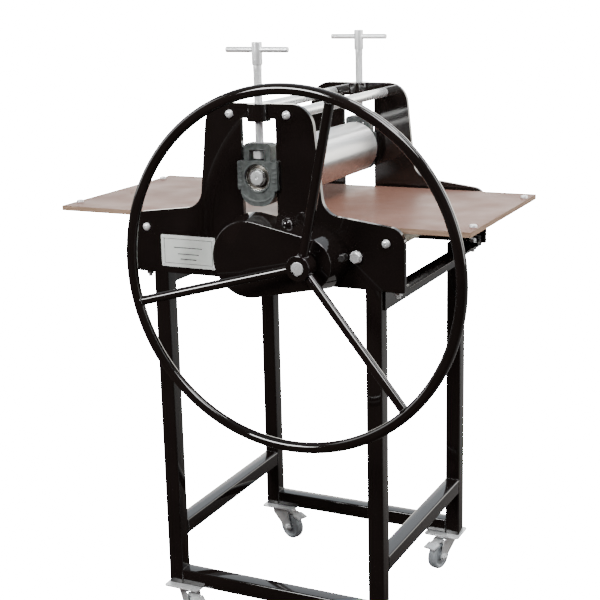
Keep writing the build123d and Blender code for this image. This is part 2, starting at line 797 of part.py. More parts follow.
def castor_wheel():
    z = castor_wheel_radius - castor_height
    half = castor_wheel_width / 2
    profile = rounded_face([
        (castor_axle_radius + running_gap, -fork_inner_half + wheel_side_gap, 0),
        (11, -fork_inner_half + wheel_side_gap, 0),
        (11, -half + 4, 0),
        (26, -half + 4, 0),
        (28, -half, 0),
        (33, -half, 0),
        (castor_wheel_radius, -half + 5, 3),
        (castor_wheel_radius, half - 5, 3),
        (33, half, 0),
        (28, half, 0),
        (26, half - 4, 0),
        (11, half - 4, 0),
        (11, fork_inner_half - wheel_side_gap, 0),
        (castor_axle_radius + running_gap, fork_inner_half - wheel_side_gap, 0),
    ])
    wheel = revolve(profile, Axis.Y)
    return Pos(castor_trail, 0, z) * wheel


def castor_pedal():
    px, pz = pedal_pivot
    outline = rounded_face([
        (24, -26, 0),
        (24, -17.5, 0),
        (34, -16.5, 0),
        (52, -16.5, 0),
        (80, -24, 0),
        (80, -28, 0),
        (53, -20.5, 0),
        (40, -20.5, 0),
        (38, -23.2, 0),
    ])
    pedal = slab(outline, -pedal_half, pedal_half)
    pad = rounded_face([(56, -18, 0), (82, -25, 0), (82, -29, 0), (56, -22, 0)])
    pedal += slab(pad, -pedal_half - pedal_pad_extra, pedal_half + pedal_pad_extra)
    return pedal - rod_y(px, pz, -pedal_half - 1, pedal_half + 1, pedal_pin_radius + running_gap)


def make_castors():
    plates = []
    for name, (x, y) in castor_centres().items():
        top = -leg_length
        plate = RectangleRounded(castor_plate_x, castor_plate_y, castor_plate_corner)
        plate = Pos(x, y, top - castor_plate_thickness) * extrude(plate, amount=castor_plate_thickness)
        plates.append(plate - rod_z(x, y, top - 10, top + 1, kingpin_radius + running_gap))
        place = Pos(x, y, top) * Rot(0, 0, castor_angles[name])
        nodes[f"castor_fork_{name}"] = place * castor_fork()
        nodes[f"castor_wheel_{name}"] = place * castor_wheel()
        nodes[f"castor_pedal_{name}"] = place * castor_pedal()
    nodes["castor_plates"] = Compound(children=plates)


make_stand()
make_base_angles()
make_lugs_and_bolts()
make_side_plates()
make_tie_rods()
make_plate_bolts()
make_screw_bosses()
make_roller_bearings()
make_rollers()
make_bed()
make_inserts()
make_pressure_screws()
make_gears()
make_drive_shaft()
make_handwheel()
make_guard()
make_nameplate()
make_castors()

# ---- the origin goes to the middle of the footprint, on the floor ----
boxes = [shape.bounding_box() for shape in nodes.values()]
low = Vector(*[min(getattr(each.min, axis) for each in boxes) for axis in "XYZ"])
high = Vector(*[max(getattr(each.max, axis) for each in boxes) for axis in "XYZ"])
shift = Vector(-(low.X + high.X) / 2, -(low.Y + high.Y) / 2, -low.Z)
os.makedirs("parts", exist_ok=True)
for node_name, shape in nodes.items():
    export_step(Pos(shift) * shape, f"parts/{node_name}.step")
print(len(nodes), "nodes; size", high - low, "; shift", shift)
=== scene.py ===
import json
import math
import bpy
import bmesh
from mathutils import Matrix, Vector


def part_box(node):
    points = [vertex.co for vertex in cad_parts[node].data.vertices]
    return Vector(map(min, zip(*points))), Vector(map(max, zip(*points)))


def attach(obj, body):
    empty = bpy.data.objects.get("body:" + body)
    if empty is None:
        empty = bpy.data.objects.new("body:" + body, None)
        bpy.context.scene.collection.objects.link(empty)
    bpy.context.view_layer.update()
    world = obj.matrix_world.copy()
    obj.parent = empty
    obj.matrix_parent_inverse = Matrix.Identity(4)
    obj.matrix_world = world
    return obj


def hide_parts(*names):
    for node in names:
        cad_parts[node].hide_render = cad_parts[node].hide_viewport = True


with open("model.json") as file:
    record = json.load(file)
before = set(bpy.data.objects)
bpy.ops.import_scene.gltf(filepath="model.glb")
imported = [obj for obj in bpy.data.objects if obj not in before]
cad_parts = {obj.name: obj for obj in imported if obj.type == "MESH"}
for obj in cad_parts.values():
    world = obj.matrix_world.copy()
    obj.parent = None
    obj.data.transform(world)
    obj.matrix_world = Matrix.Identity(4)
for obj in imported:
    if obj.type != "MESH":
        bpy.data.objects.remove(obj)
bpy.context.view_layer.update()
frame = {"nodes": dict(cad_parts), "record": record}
nodes = frame["nodes"]
joints = {joint["name"]: joint for joint in frame["record"]["behaviour"]["joints"]}
mm = 0.001
origin = Vector((0, 0, 0))
rearward = Vector((0, 1, 0))
upward = Vector((0, 0, 1))


def corners(node):
    low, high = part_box(node)
    return Vector(low), Vector(high)


def middle(node):
    low, high = corners(node)
    return (low + high) / 2


def jointPlace(name):
    return Vector(joints[name]["pos_m"])


plateLow, plateHigh = corners("side_plate_front")
farLow, farHigh = corners("side_plate_rear")
# across: the rollers' line; in depth: the front plate's face; in height: the top of the stand
headPlace = Vector(((plateLow.x + plateHigh.x) / 2, plateLow.y, plateLow.z))


def inHead(x, y, z):
    # a place given in millimetres from the middle of the front plate's lower edge
    return headPlace + Vector((x, y, z)) * mm


def add(tree, kind, links=(), **settings):
    # one node, its inputs linked to an output or set to a value
    node = tree.nodes.new(kind)
    for key, value in settings.items():
        setattr(node, key, value)
    for socket, source in links:
        if hasattr(source, "links"):
            tree.links.new(source, node.inputs[socket])
        else:
            node.inputs[socket].default_value = source
    return node


# materials
def startMaterial(name, sockets):
    material = bpy.data.materials.new(name)
    material.use_nodes = True
    tree = material.node_tree
    shader = tree.nodes["Principled BSDF"]
    for socket, value in sockets.items():
        shader.inputs[socket].default_value = value
    place = add(tree, "ShaderNodeTexCoord").outputs["Object"]
    return material, tree, shader, place


def noise(tree, place, scale, detail=4, stretch=(1, 1, 1), roughness=0.5):
    mapping = add(tree, "ShaderNodeMapping", [("Vector", place), ("Scale", stretch)])
    texture = add(tree, "ShaderNodeTexNoise", [
        ("Vector", mapping.outputs[0]), ("Scale", scale), ("Detail", detail), ("Roughness", roughness)])
    return texture.outputs[0]


def colourRamp(tree, factor, stops):
    ramp = add(tree, "ShaderNodeValToRGB", [("Fac", factor)])
    ramp.color_ramp.elements[0].position = stops[0][0]
    ramp.color_ramp.elements[0].color = (*stops[0][1], 1)
    ramp.color_ramp.elements[1].position = stops[-1][0]
    ramp.color_ramp.elements[1].color = (*stops[-1][1], 1)
    for position, colour in stops[1:-1]:
        ramp.color_ramp.elements.new(position).color = (*colour, 1)
    return ramp.outputs["Color"]


def spread(tree, factor, low, high, fromLow=0.3, fromHigh=0.7):
    node = add(tree, "ShaderNodeMapRange", [
        ("Value", factor), ("From Min", fromLow), ("From Max", fromHigh), ("To Min", low), ("To Max", high)])
    return node.outputs["Result"]


def addBump(tree, shader, height, strength, distance):
    bump = add(tree, "ShaderNodeBump", [("Height", height), ("Strength", strength), ("Distance", distance)])
    tree.links.new(bump.outputs["Normal"], shader.inputs["Normal"])


def blended(tree, a, b, factor, way="MIX"):
    blend = add(tree, "ShaderNodeMix", data_type="RGBA", blend_type=way)
    for socket, source in (("A", a), ("B", b)):
        tree.links.new(source, blend.inputs[socket])
    if hasattr(factor, "links"):
        tree.links.new(factor, blend.inputs["Factor"])
    else:
        blend.inputs["Factor"].default_value = factor
    return blend.outputs["Result"]


def shareAlong(tree, place, way, reach):
    # how far a place or a direction lies along a way, from 0 to 1 over the given reach
    toward = add(tree, "ShaderNodeVectorMath", [(0, place), (1, way)], operation="DOT_PRODUCT")
    return spread(tree, toward.outputs["Value"], 0, 1, *reach)


def seenOrMirrored(tree, seen, mirrored, output):
    # one shader for the camera's own rays and another for what the piece mirrors
    path = add(tree, "ShaderNodeLightPath")
    either = add(tree, "ShaderNodeMixShader", [
        ("Fac", path.outputs["Is Camera Ray"]), (1, mirrored.outputs[0]), (2, seen.outputs[0])])
    tree.links.new(either.outputs[0], tree.nodes[output].inputs["Surface"])


def speckled(name, look):
    # one finish from its colours, its smudges and its surface grain
    sockets = {"Metallic": look.get("metallic", 0.0), "Coat Weight": look.get("coat", 0.0),
               "Coat Roughness": look.get("coatRoughness", 0.05)}
    if "anisotropy" in look:  # turned round the Y axis, so the shine spreads along it
        sockets["Anisotropic"] = look["anisotropy"]
        sockets["Anisotropic Rotation"] = 0.25
    material, tree, shader, place = startMaterial(name, sockets)
    if "anisotropy" in look:
        turnedWay = add(tree, "ShaderNodeTangent", direction_type="RADIAL", axis="Y")
        tree.links.new(turnedWay.outputs["Tangent"], shader.inputs["Tangent"])
    cloud = noise(tree, place, look["cloudScale"], 5, look.get("stretch", (1, 1, 1)))
    tree.links.new(colourRamp(tree, cloud, look["colours"]), shader.inputs["Base Color"])
    smudge = noise(tree, place, look["smudgeScale"], 3, look.get("stretch", (1, 1, 1)))
    tree.links.new(spread(tree, smudge, *look["roughness"]), shader.inputs["Roughness"])
    grain = noise(tree, place, look["grainScale"], 6, look.get("grainStretch", (1, 1, 1)), 0.6)
    addBump(tree, shader, grain, look["grainStrength"], look["grainDepth"])
    return material


finishes = {
    "black_enamel": dict(
        cloudScale=9, colours=[(0.3, (0.0055, 0.0040, 0.0036)), (0.7, (0.0085, 0.0060, 0.0054))],
        smudgeScale=12, roughness=(0.035, 0.085), coat=0.25, coatRoughness=0.03,
        grainScale=130, grainStrength=0.045, grainDepth=0.0004),
    "zinc_fasteners": dict(
        metallic=0.55, cloudScale=60, colours=[(0.3, (0.80, 0.82, 0.83)), (0.7, (0.92, 0.93, 0.93))],
        smudgeScale=90, roughness=(0.28, 0.42),
        grainScale=900, grainStrength=0.06, grainDepth=0.0002),
    "bright_steel": dict(
        metallic=0.6, cloudScale=30, colours=[(0.3, (0.82, 0.84, 0.84)), (0.7, (0.93, 0.94, 0.93))],
        smudgeScale=40, roughness=(0.18, 0.32),
        grainScale=500, grainStretch=(1, 0.03, 1), grainStrength=0.08, grainDepth=0.0003),
    "roller_steel": dict(
        metallic=1.0, cloudScale=14, colours=[(0.3, (0.84, 0.84, 0.83)), (0.7, (0.95, 0.94, 0.92))],
        stretch=(1.6, 0.25, 1.6), smudgeScale=22, roughness=(0.33, 0.40), anisotropy=0.95,
        grainScale=300, grainStretch=(0.05, 5, 0.05), grainStrength=0.01, grainDepth=0.0002),
    "support_roller": dict(
        cloudScale=20, colours=[(0.3, (0.60, 0.55, 0.42)), (0.7, (0.72, 0.68, 0.55))],
        smudgeScale=40, roughness=(0.35, 0.5),
        grainScale=300, grainStrength=0.15, grainDepth=0.0003),
    "cast_iron": dict(
        metallic=0.35, cloudScale=70, colours=[(0.3, (0.048, 0.055, 0.053)), (0.7, (0.100, 0.112, 0.108))],
        smudgeScale=60, roughness=(0.42, 0.6),
        grainScale=1100, grainStrength=0.55, grainDepth=0.0006),
    "bearing_steel": dict(
        metallic=1.0, cloudScale=80, colours=[(0.3, (0.42, 0.42, 0.41)), (0.7, (0.60, 0.60, 0.58))],
        smudgeScale=60, roughness=(0.2, 0.35),
        grainScale=800, grainStrength=0.1, grainDepth=0.0003),
    "gear_steel": dict(
        metallic=0.9, cloudScale=40, colours=[(0.3, (0.10, 0.09, 0.075)), (0.7, (0.24, 0.225, 0.20))],
        smudgeScale=50, roughness=(0.2, 0.45),
        grainScale=600, grainStrength=0.2, grainDepth=0.0004),
    "castor_tread": dict(
        cloudScale=50, colours=[(0.3, (0.30, 0.33, 0.35)), (0.7, (0.38, 0.41, 0.43))],
        smudgeScale=70, roughness=(0.32, 0.48),
        grainScale=700, grainStrength=0.12, grainDepth=0.0003),
    "nameplate": dict(
        metallic=0.2, cloudScale=25, colours=[(0.3, (0.72, 0.76, 0.72)), (0.7, (0.80, 0.83, 0.79))],
        smudgeScale=30, roughness=(0.30, 0.42),
        grainScale=600, grainStretch=(0.04, 1, 1), grainStrength=0.10, grainDepth=0.0002),
}
materials = {name: speckled(name, look) for name, look in finishes.items()}

bedLook = dict(
    topColours=[(0.3, (0.142, 0.072, 0.053)), (0.7, (0.180, 0.097, 0.074))],
    edgeColours=[(0.3, (0.20, 0.125, 0.085)), (0.7, (0.36, 0.25, 0.18))],
    fibreScale=900, cloudScale=5, plyScale=520, smudgeScale=11, roughness=(0.34, 0.48),
    grainStrength=0.12, grainDepth=0.0003)


def bedLaminate(look):
    # resin-bonded board: cloudy face with fine fibres, and plies showing along its edges
    material, tree, shader, place = startMaterial("bed_laminate", {"Specular IOR Level": 0.05})
    face = colourRamp(tree, noise(tree, place, look["cloudScale"], 6), look["topColours"])
    ply = colourRamp(tree, noise(tree, place, look["plyScale"], 2, (0.02, 0.02, 1)), look["edgeColours"])
    geometry = add(tree, "ShaderNodeNewGeometry")
    split = add(tree, "ShaderNodeSeparateXYZ", [("Vector", geometry.outputs["Normal"])])
    facing = add(tree, "ShaderNodeMath", [(0, split.outputs["Z"])], operation="ABSOLUTE")
    level = spread(tree, facing.outputs[0], 0, 1, 0.4, 0.9)
    tree.links.new(blended(tree, ply, face, level), shader.inputs["Base Color"])
    smudge = noise(tree, place, look["smudgeScale"], 4)
    tree.links.new(spread(tree, smudge, *look["roughness"]), shader.inputs["Roughness"])
    fibres = noise(tree, place, look["fibreScale"], 5, (1, 0.2, 1), 0.7)
    addBump(tree, shader, fibres, look["grainStrength"], look["grainDepth"])
    return material


materials["bed_laminate"] = bedLaminate(bedLook)
print("materials made:", len(materials))


# making and finishing pieces

def camel(node):
    first, *rest = node.split("_")
    return first + "".join(word.capitalize() for word in rest)


def newObject(name, mesh):
    obj = bpy.data.objects.new(name, mesh)
    bpy.context.scene.collection.objects.link(obj)
    return obj


def fromBmesh(name, bm):
    bmesh.ops.recalc_face_normals(bm, faces=bm.faces)
    mesh = bpy.data.meshes.new(name)
    bm.to_mesh(mesh)
    bm.free()
    return newObject(name, mesh)


def smoothed(obj, degrees=32):
    mesh = obj.data
    mesh.polygons.foreach_set("use_smooth", [True] * len(mesh.polygons))
    mesh.set_sharp_from_angle(angle=math.radians(degrees))
    return obj


def baked(obj):
    # the object's evaluated shape as a plain mesh; the modifiers go
    graph = bpy.context.evaluated_depsgraph_get()
    mesh = bpy.data.meshes.new_from_object(obj.evaluated_get(graph), depsgraph=graph)
    name = obj.name
    bpy.data.objects.remove(obj)
    return newObject(name, mesh)


def piece(obj, body, slotName, *replaced):
    obj.data.materials.clear()
    obj.data.materials.append(materials[slotName])
    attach(obj, body)
    if replaced:
        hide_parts(*replaced)
    return obj


def bodyOf(node):
    for body, names in frame["record"]["behaviour"]["bodies"].items():
        if node in names:
            return body


def cleanMesh(node):
    # a CAD node as whole faces: its loose triangles are merged and the flat ones joined
    bm = bmesh.new()
    bm.from_mesh(nodes[node].data)
    bmesh.ops.remove_doubles(bm, verts=bm.verts, dist=0.00001)
    bmesh.ops.dissolve_limit(bm, angle_limit=math.radians(0.5), verts=bm.verts, edges=bm.edges)
    return bm


def addBevel(obj, width, segments=2, degrees=35):
    bevel = obj.modifiers.new("softEdges", "BEVEL")
    bevel.width = width
    bevel.segments = segments
    bevel.limit_method = "ANGLE"
    bevel.angle_limit = math.radians(degrees)
    bevel.harden_normals = True
    return bevel


def refined(node, width, segments=2, extra=None):
    # the CAD shape with its edges eased, as a machined, cast or folded piece has them
    bm = cleanMesh(node)
    mesh = bpy.data.meshes.new(camel(node))
    bm.to_mesh(mesh)
    bm.free()
    obj = smoothed(newObject(camel(node), mesh))
    if width:
        addBevel(obj, width, segments)
        obj = baked(obj)
    if extra:
        join(obj, extra(node))
    return obj


def join(obj, bm):
    # adds loose shells to a finished mesh
    bmesh.ops.recalc_face_normals(bm, faces=bm.faces)
    for face in bm.faces:
        face.smooth = True
    more = bpy.data.meshes.new("more")
    bm.to_mesh(more)
    bm.free()
    more.set_sharp_from_angle(angle=math.radians(32))
    joinObject(obj, newObject("extra", more))


def joinObject(obj, extra):
    with bpy.context.temp_override(active_object=obj, selected_editable_objects=[obj, extra]):
        bpy.ops.object.join()


def turned(bm, centre, axis, profile, steps=48):
    # a lathe: profile is (distance along the axis, radius) pairs; with no radius of zero it closes on itself
    axis = Vector(axis).normalized()
    side = axis.orthogonal().normalized()
    up = axis.cross(side)
    rings = []
    for along, radius in profile:
        if radius < 1e-7:
            rings.append([bm.verts.new(centre + axis * along)])
            continue
        ring = []
        for step in range(steps):
            turn = 2 * math.pi * step / steps
            out = side * math.cos(turn) + up * math.sin(turn)
            ring.append(bm.verts.new(centre + axis * along + out * radius))
        rings.append(ring)
    pairs = list(zip(rings, rings[1:]))
    if profile[0][1] > 1e-7:
        pairs.append((rings[-1], rings[0]))
    for first, second in pairs:
        for step in range(steps):
            after = (step + 1) % steps
            if len(first) == 1:
                bm.faces.new((first[0], second[after], second[step]))
            elif len(second) == 1:
                bm.faces.new((first[step], first[after], second[0]))
            else:
                bm.faces.new((first[step], first[after], second[after], second[step]))


def bridge(bm, rings):
    # quads between neighbouring rings of the same length
    for first, second in zip(rings, rings[1:]):
        for index in range(len(first)):
            after = (index + 1) % len(first)
            bm.faces.new((first[index], first[after], second[after], second[index]))


def eased(profile, radius, closed=False):
    # the same outline with every corner rounded in a few short steps
    points = [Vector(point) for point in profile]
    count = len(points)
    result = []
    for index, point in enumerate(points):
        if not closed and index in (0, count - 1):
            result.append(point)
            continue
        before = points[index - 1] - point
        after = points[(index + 1) % count] - point
        reach = min(radius, before.length * 0.45, after.length * 0.45)
        start = point + before.normalized() * reach
        end = point + after.normalized() * reach
        for step in range(5):
            t = step / 4
            result.append(start * (1 - t) ** 2 + point * 2 * t * (1 - t) + end * t ** 2)
    return [(point.x, point.y) for point in result]


def scaled(profile):
    return [(along * mm, radius * mm) for along, radius in profile]


def lathe(name, centre, axis, profile, steps):
    # one turned piece from its outline in millimetres
    bm = bmesh.new()
    turned(bm, centre, axis, scaled(profile), steps)
    return smoothed(fromBmesh(name, bm))


def crown(base, top, radius, steps):
    # the quarter-round outline of a domed head, from its rim to its middle
    turns = [math.pi / 2 * step / steps for step in range(1, steps)]
    return [(base + (top - base) * math.sin(turn), radius * math.cos(turn)) for turn in turns] + [(top, 0)]


def cutAway(obj, tool):
    cut = obj.modifiers.new("cut", "BOOLEAN")
    cut.object = tool
    cut.solver = "EXACT"
    obj = baked(obj)
    bpy.data.objects.remove(tool)
    return smoothed(obj)


def rodProfile(length, radius, ease=1.0, bore=0.0):
    # a plain round bar or, with a bore, a tube, centred on its own length
    half = length / 2
    if bore:
        outline = [(-half, bore), (-half, radius), (half, radius), (half, bore)]
        return eased(outline, ease, closed=True)
    return eased([(-half, 0), (-half, radius), (half, radius), (half, 0)], ease)


# node trees for what repeats

def newTree(name, inputs):
    tree = bpy.data.node_groups.new(name, "GeometryNodeTree")
    tree.interface.new_socket("Geometry", in_out="INPUT", socket_type="NodeSocketGeometry")
    tree.interface.new_socket("Geometry", in_out="OUTPUT", socket_type="NodeSocketGeometry")
    kinds = {float: "NodeSocketFloat", int: "NodeSocketInt", str: "NodeSocketObject"}
    for label, value in inputs.items():
        socket = tree.interface.new_socket(label, in_out="INPUT", socket_type=kinds[type(value)])
        if not isinstance(value, str):
            socket.default_value = value
    return tree, tree.nodes.new("NodeGroupInput").outputs, tree.nodes.new("NodeGroupOutput").inputs


def closeTree(tree, geometry, output, material):
    real = add(tree, "GeometryNodeRealizeInstances", [("Geometry", geometry)])
    painted = add(tree, "GeometryNodeSetMaterial", [("Geometry", real.outputs[0])])
    painted.inputs["Material"].default_value = material
    tree.links.new(painted.outputs[0], output["Geometry"])


def runTree(name, tree, base, values):
    # gives the tree its sizes, evaluates it once and keeps the plain mesh
    obj = newObject(name, base)
    modifier = obj.modifiers.new("build", "NODES")
    modifier.node_group = tree
    for item in tree.interface.items_tree:
        if item.item_type == "SOCKET" and item.in_out == "INPUT" and item.name in values:
            modifier[item.identifier] = values[item.name]
    return smoothed(baked(obj))


def fastenerTree(material):
    # one fastener on each vertex, along the vertex's facing, each with its own turn
    tree, given, output = newTree("fasteners", {"Fastener": "", "Seed": 3})
    part = add(tree, "GeometryNodeObjectInfo", [("Object", given["Fastener"]), ("As Instance", True)])
    facing = add(tree, "GeometryNodeInputNamedAttribute", [("Name", "facing")], data_type="FLOAT_VECTOR")
    aim = add(tree, "FunctionNodeAlignRotationToVector", [("Vector", facing.outputs[0])], axis="Z")
    chance = add(tree, "FunctionNodeRandomValue", [("Seed", given["Seed"])], data_type="FLOAT")
    chance.inputs[3].default_value = math.tau
    spin = add(tree, "ShaderNodeCombineXYZ", [("Z", chance.outputs[1])])
    turn = add(tree, "FunctionNodeRotateRotation", [
        ("Rotation", aim.outputs[0]), ("Rotate By", spin.outputs[0])], rotation_space="LOCAL")
    spots = add(tree, "GeometryNodeInstanceOnPoints", [
        ("Points", given["Geometry"]), ("Instance", part.outputs["Geometry"]), ("Rotation", turn.outputs[0])])
    closeTree(tree, spots.outputs[0], output, material)
    return tree


def weldTree(material):
    # overlapping ripples laid along a path
    tree, given, output = newTree("weldBead", {"Width": 0.004, "Step": 0.0024, "Seed": 5})
    path = add(tree, "GeometryNodeMeshToCurve", [("Mesh", given["Geometry"])])
    even = add(tree, "GeometryNodeResampleCurve", mode="LENGTH")
    tree.links.new(path.outputs[0], even.inputs["Curve"])
    tree.links.new(given["Step"], even.inputs["Length"])
    ripple = add(tree, "GeometryNodeMeshIcoSphere", [("Radius", given["Width"]), ("Subdivisions", 2)])
    along = add(tree, "GeometryNodeInputTangent")
    aim = add(tree, "FunctionNodeAlignRotationToVector", [("Vector", along.outputs[0])], axis="Z")
    size = add(tree, "FunctionNodeRandomValue", [("Seed", given["Seed"])], data_type="FLOAT")
    size.inputs[2].default_value = 0.44
    size.inputs[3].default_value = 0.56
    spots = add(tree, "GeometryNodeInstanceOnPoints", [
        ("Points", even.outputs[0]), ("Instance", ripple.outputs[0]), ("Rotation", aim.outputs[0]),
        ("Scale", size.outputs[1])])
    closeTree(tree, spots.outputs[0], output, material)
    return tree


def threadTree(material):
    # a helical ridge of diamond section about Z
    tree, given, output = newTree("screwThread", {
        "Radius": 0.01, "Pitch": 0.004, "Length": 0.1, "Depth": 0.001})
    turns = add(tree, "ShaderNodeMath", [(0, given["Length"]), (1, given["Pitch"])], operation="DIVIDE")
    helix = add(tree, "GeometryNodeCurveSpiral", [
        ("Resolution", 28), ("Rotations", turns.outputs[0]), ("Start Radius", given["Radius"]),
        ("End Radius", given["Radius"]), ("Height", given["Length"])])
    upright = add(tree, "GeometryNodeSetCurveNormal", [("Curve", helix.outputs[0])])
    upright.mode = "Z_UP"
    section = add(tree, "GeometryNodeCurvePrimitiveCircle", [("Resolution", 4), ("Radius", given["Depth"])])
    ridge = add(tree, "GeometryNodeCurveToMesh", [
        ("Curve", upright.outputs[0]), ("Profile Curve", section.outputs[0]), ("Fill Caps", True)])
    closeTree(tree, ridge.outputs[0], output, material)
    return tree


def rimTree(material):
    # a ring of round tube about Z
    tree, given, output = newTree("wheelRim", {"Ring Radius": 0.4, "Tube Radius": 0.0125})
    ring, section = [
        add(tree, "GeometryNodeCurvePrimitiveCircle", [("Resolution", steps), ("Radius", given[label])])
        for steps, label in ((240, "Ring Radius"), (32, "Tube Radius"))]
    tube = add(tree, "GeometryNodeCurveToMesh", [
        ("Curve", ring.outputs[0]), ("Profile Curve", section.outputs[0])])
    closeTree(tree, tube.outputs[0], output, material)
    return tree


def spokeTree(material):
    # equal spokes about Z, leaning forward from the hub to the rim
    tree, given, output = newTree("wheelSpokes", {
        "Count": 3, "First Angle": 0.0, "Spoke Radius": 0.011, "Start": 0.02, "Start Rise": 0.0,
        "End": 0.39, "End Rise": 0.07})
    start = add(tree, "ShaderNodeCombineXYZ", [("X", given["Start"]), ("Z", given["Start Rise"])])
    end = add(tree, "ShaderNodeCombineXYZ", [("X", given["End"]), ("Z", given["End Rise"])])
    line = add(tree, "GeometryNodeCurvePrimitiveLine", [("Start", start.outputs[0]), ("End", end.outputs[0])])
    section = add(tree, "GeometryNodeCurvePrimitiveCircle", [
        ("Resolution", 32), ("Radius", given["Spoke Radius"])])
    spoke = add(tree, "GeometryNodeCurveToMesh", [
        ("Curve", line.outputs[0]), ("Profile Curve", section.outputs[0]), ("Fill Caps", True)])
    spots = add(tree, "GeometryNodePoints", [("Count", given["Count"])])
    index = add(tree, "GeometryNodeInputIndex")
    part = add(tree, "ShaderNodeMath", [(0, math.tau), (1, given["Count"])], operation="DIVIDE")
    turn = add(tree, "ShaderNodeMath", [
        (0, index.outputs[0]), (1, part.outputs[0]), (2, given["First Angle"])], operation="MULTIPLY_ADD")
    spin = add(tree, "ShaderNodeCombineXYZ", [("Z", turn.outputs[0])])
    copies = add(tree, "GeometryNodeInstanceOnPoints", [
        ("Points", spots.outputs[0]), ("Instance", spoke.outputs[0]), ("Rotation", spin.outputs[0])])
    closeTree(tree, copies.outputs[0], output, material)
    return tree


def spotMesh(name, places, facings):
    # loose vertices, each with the way its fastener faces
    mesh = bpy.data.meshes.new(name)
    mesh.from_pydata([tuple(place) for place in places], [], [])
    facing = mesh.attributes.new("facing", "FLOAT_VECTOR", "POINT")
    facing.data.foreach_set("vector", [value for way in facings for value in way])
    return mesh


def pathMesh(name, loops):
    # closed paths as edges
    points = []
    edges = []
    for loop in loops:
        first = len(points)
        points += [tuple(point) for point in loop]
        edges += [(first + index, first + (index + 1) % len(loop)) for index in range(len(loop))]
    mesh = bpy.data.meshes.new(name)
    mesh.from_pydata(points, edges, [])
    return mesh


def fasteners(name, template, places, facings, slotName):
    tree = fastenerTree(materials[slotName])
    obj = runTree(name, tree, spotMesh(name, places, facings), {"Fastener": template, "Seed": len(places)})
    bpy.data.objects.remove(template)
    return obj


def welds(name, loops, width, body):
    tree = weldTree(materials["black_enamel"])
    obj = runTree(name, tree, pathMesh(name, loops), {"Width": width, "Step": width * 0.62, "Seed": 5})
    return piece(obj, body, "black_enamel")


# stand: square tube, angle irons and their bolts

standLook = dict(wall=2.5, corner=4.5, cornerSteps=6, weldWidth=0.0036, angleEdge=0.0008, boltEdge=0.0006)


def squareOutline(half, corner, steps):
    points = []
    for index, (sx, sy) in enumerate(((1, 1), (-1, 1), (-1, -1), (1, -1))):
        for step in range(steps + 1):
            turn = math.pi / 2 * (index + step / steps)
            points.append((sx * (half - corner) + corner * math.cos(turn),
                           sy * (half - corner) + corner * math.sin(turn)))
    return points


def squareTube(node):
    # hollow tube along the box's longest side, with rolled corners
    low, high = corners(node)
    size = high - low
    along = max(range(3), key=lambda index: size[index])
    across = [index for index in range(3) if index != along]
    half = size[across[0]] / 2
    wall = standLook["wall"] * mm
    corner = standLook["corner"] * mm
    outer = squareOutline(half, corner, standLook["cornerSteps"])
    inner = squareOutline(half - wall, corner - wall, standLook["cornerSteps"])
    centre = (low + high) / 2
    bm = bmesh.new()
    rings = []
    for end, outline in ((low, outer), (high, outer), (high, inner), (low, inner)):
        ring = []
        for a, b in outline:
            spot = centre.copy()
            spot[along] = end[along]
            spot[across[0]] += a
            spot[across[1]] += b
            ring.append(bm.verts.new(spot))
        rings.append(ring)
    bridge(bm, rings + rings[:1])
    return smoothed(fromBmesh(camel(node), bm), 40)


def railWelds(node):
    # the path round each end of a rail where it meets a leg
    low, high = corners(node)
    size = high - low
    along = max(range(3), key=lambda index: size[index])
    across = [index for index in range(3) if index != along]
    outline = squareOutline(size[across[0]] / 2, standLook["corner"] * mm, 4)
    loops = []
    for end in (low[along], high[along]):
        loop = []
        for a, b in outline:
            spot = (low + high) / 2
            spot[along] = end
            spot[across[0]] += a * 0.985
            spot[across[1]] += b * 0.985
            loop.append(spot)
        loops.append(loop)
    return loops


legs = [f"leg_{end}_{side}" for end in ("front", "rear") for side in ("left", "right")]
rails = ["side_rail_left", "side_rail_right", "low_rail_front", "low_rail_rear"]
for node in legs + rails:
    piece(squareTube(node), "press_frame", "black_enamel", node)
railLoops = [loop for rail in rails for loop in railWelds(rail)]
welds("railWelds", railLoops, standLook["weldWidth"], "press_frame")
for node in ("base_angle_left", "base_angle_right", "foot_lugs"):
    piece(refined(node, standLook["angleEdge"]), "press_frame", "black_enamel", node)
piece(refined("foot_bolts", standLook["boltEdge"]), "press_frame", "zinc_fasteners", "foot_bolts")
print("stand made")


# press head: side plates, tie rods and their bolts

headLook = dict(plateEdge=0.0012, bossEdge=0.0008, bearingEdge=0.0006, rodEnd=0.8, axleEnd=0.5)
for node in ("side_plate_front", "side_plate_rear"):
    piece(refined(node, headLook["plateEdge"], 3), "press_frame", "black_enamel", node)
piece(refined("screw_bosses", headLook["bossEdge"]), "press_frame", "black_enamel", "screw_bosses")
piece(refined("roller_bearings", headLook["bearingEdge"]), "press_frame", "bearing_steel", "roller_bearings")

tieRodLook = dict(radius=12.5, topX=73, topZ=389, lowX=240, lowZ=74)
rodSpan = (farLow.y - plateHigh.y) / mm
rodMiddle = (farLow.y + plateHigh.y) / 2


def acrossRods(name, places, radius, ease):
    bm = bmesh.new()
    for x, z in places:
        turned(bm, Vector((x, rodMiddle, z)), rearward, scaled(rodProfile(rodSpan, radius, ease)), 48)
    return smoothed(fromBmesh(name, bm))


def mirroredPlaces(x, z):
    return [(headPlace.x + side * x * mm, headPlace.z + z * mm) for side in (-1, 1)]


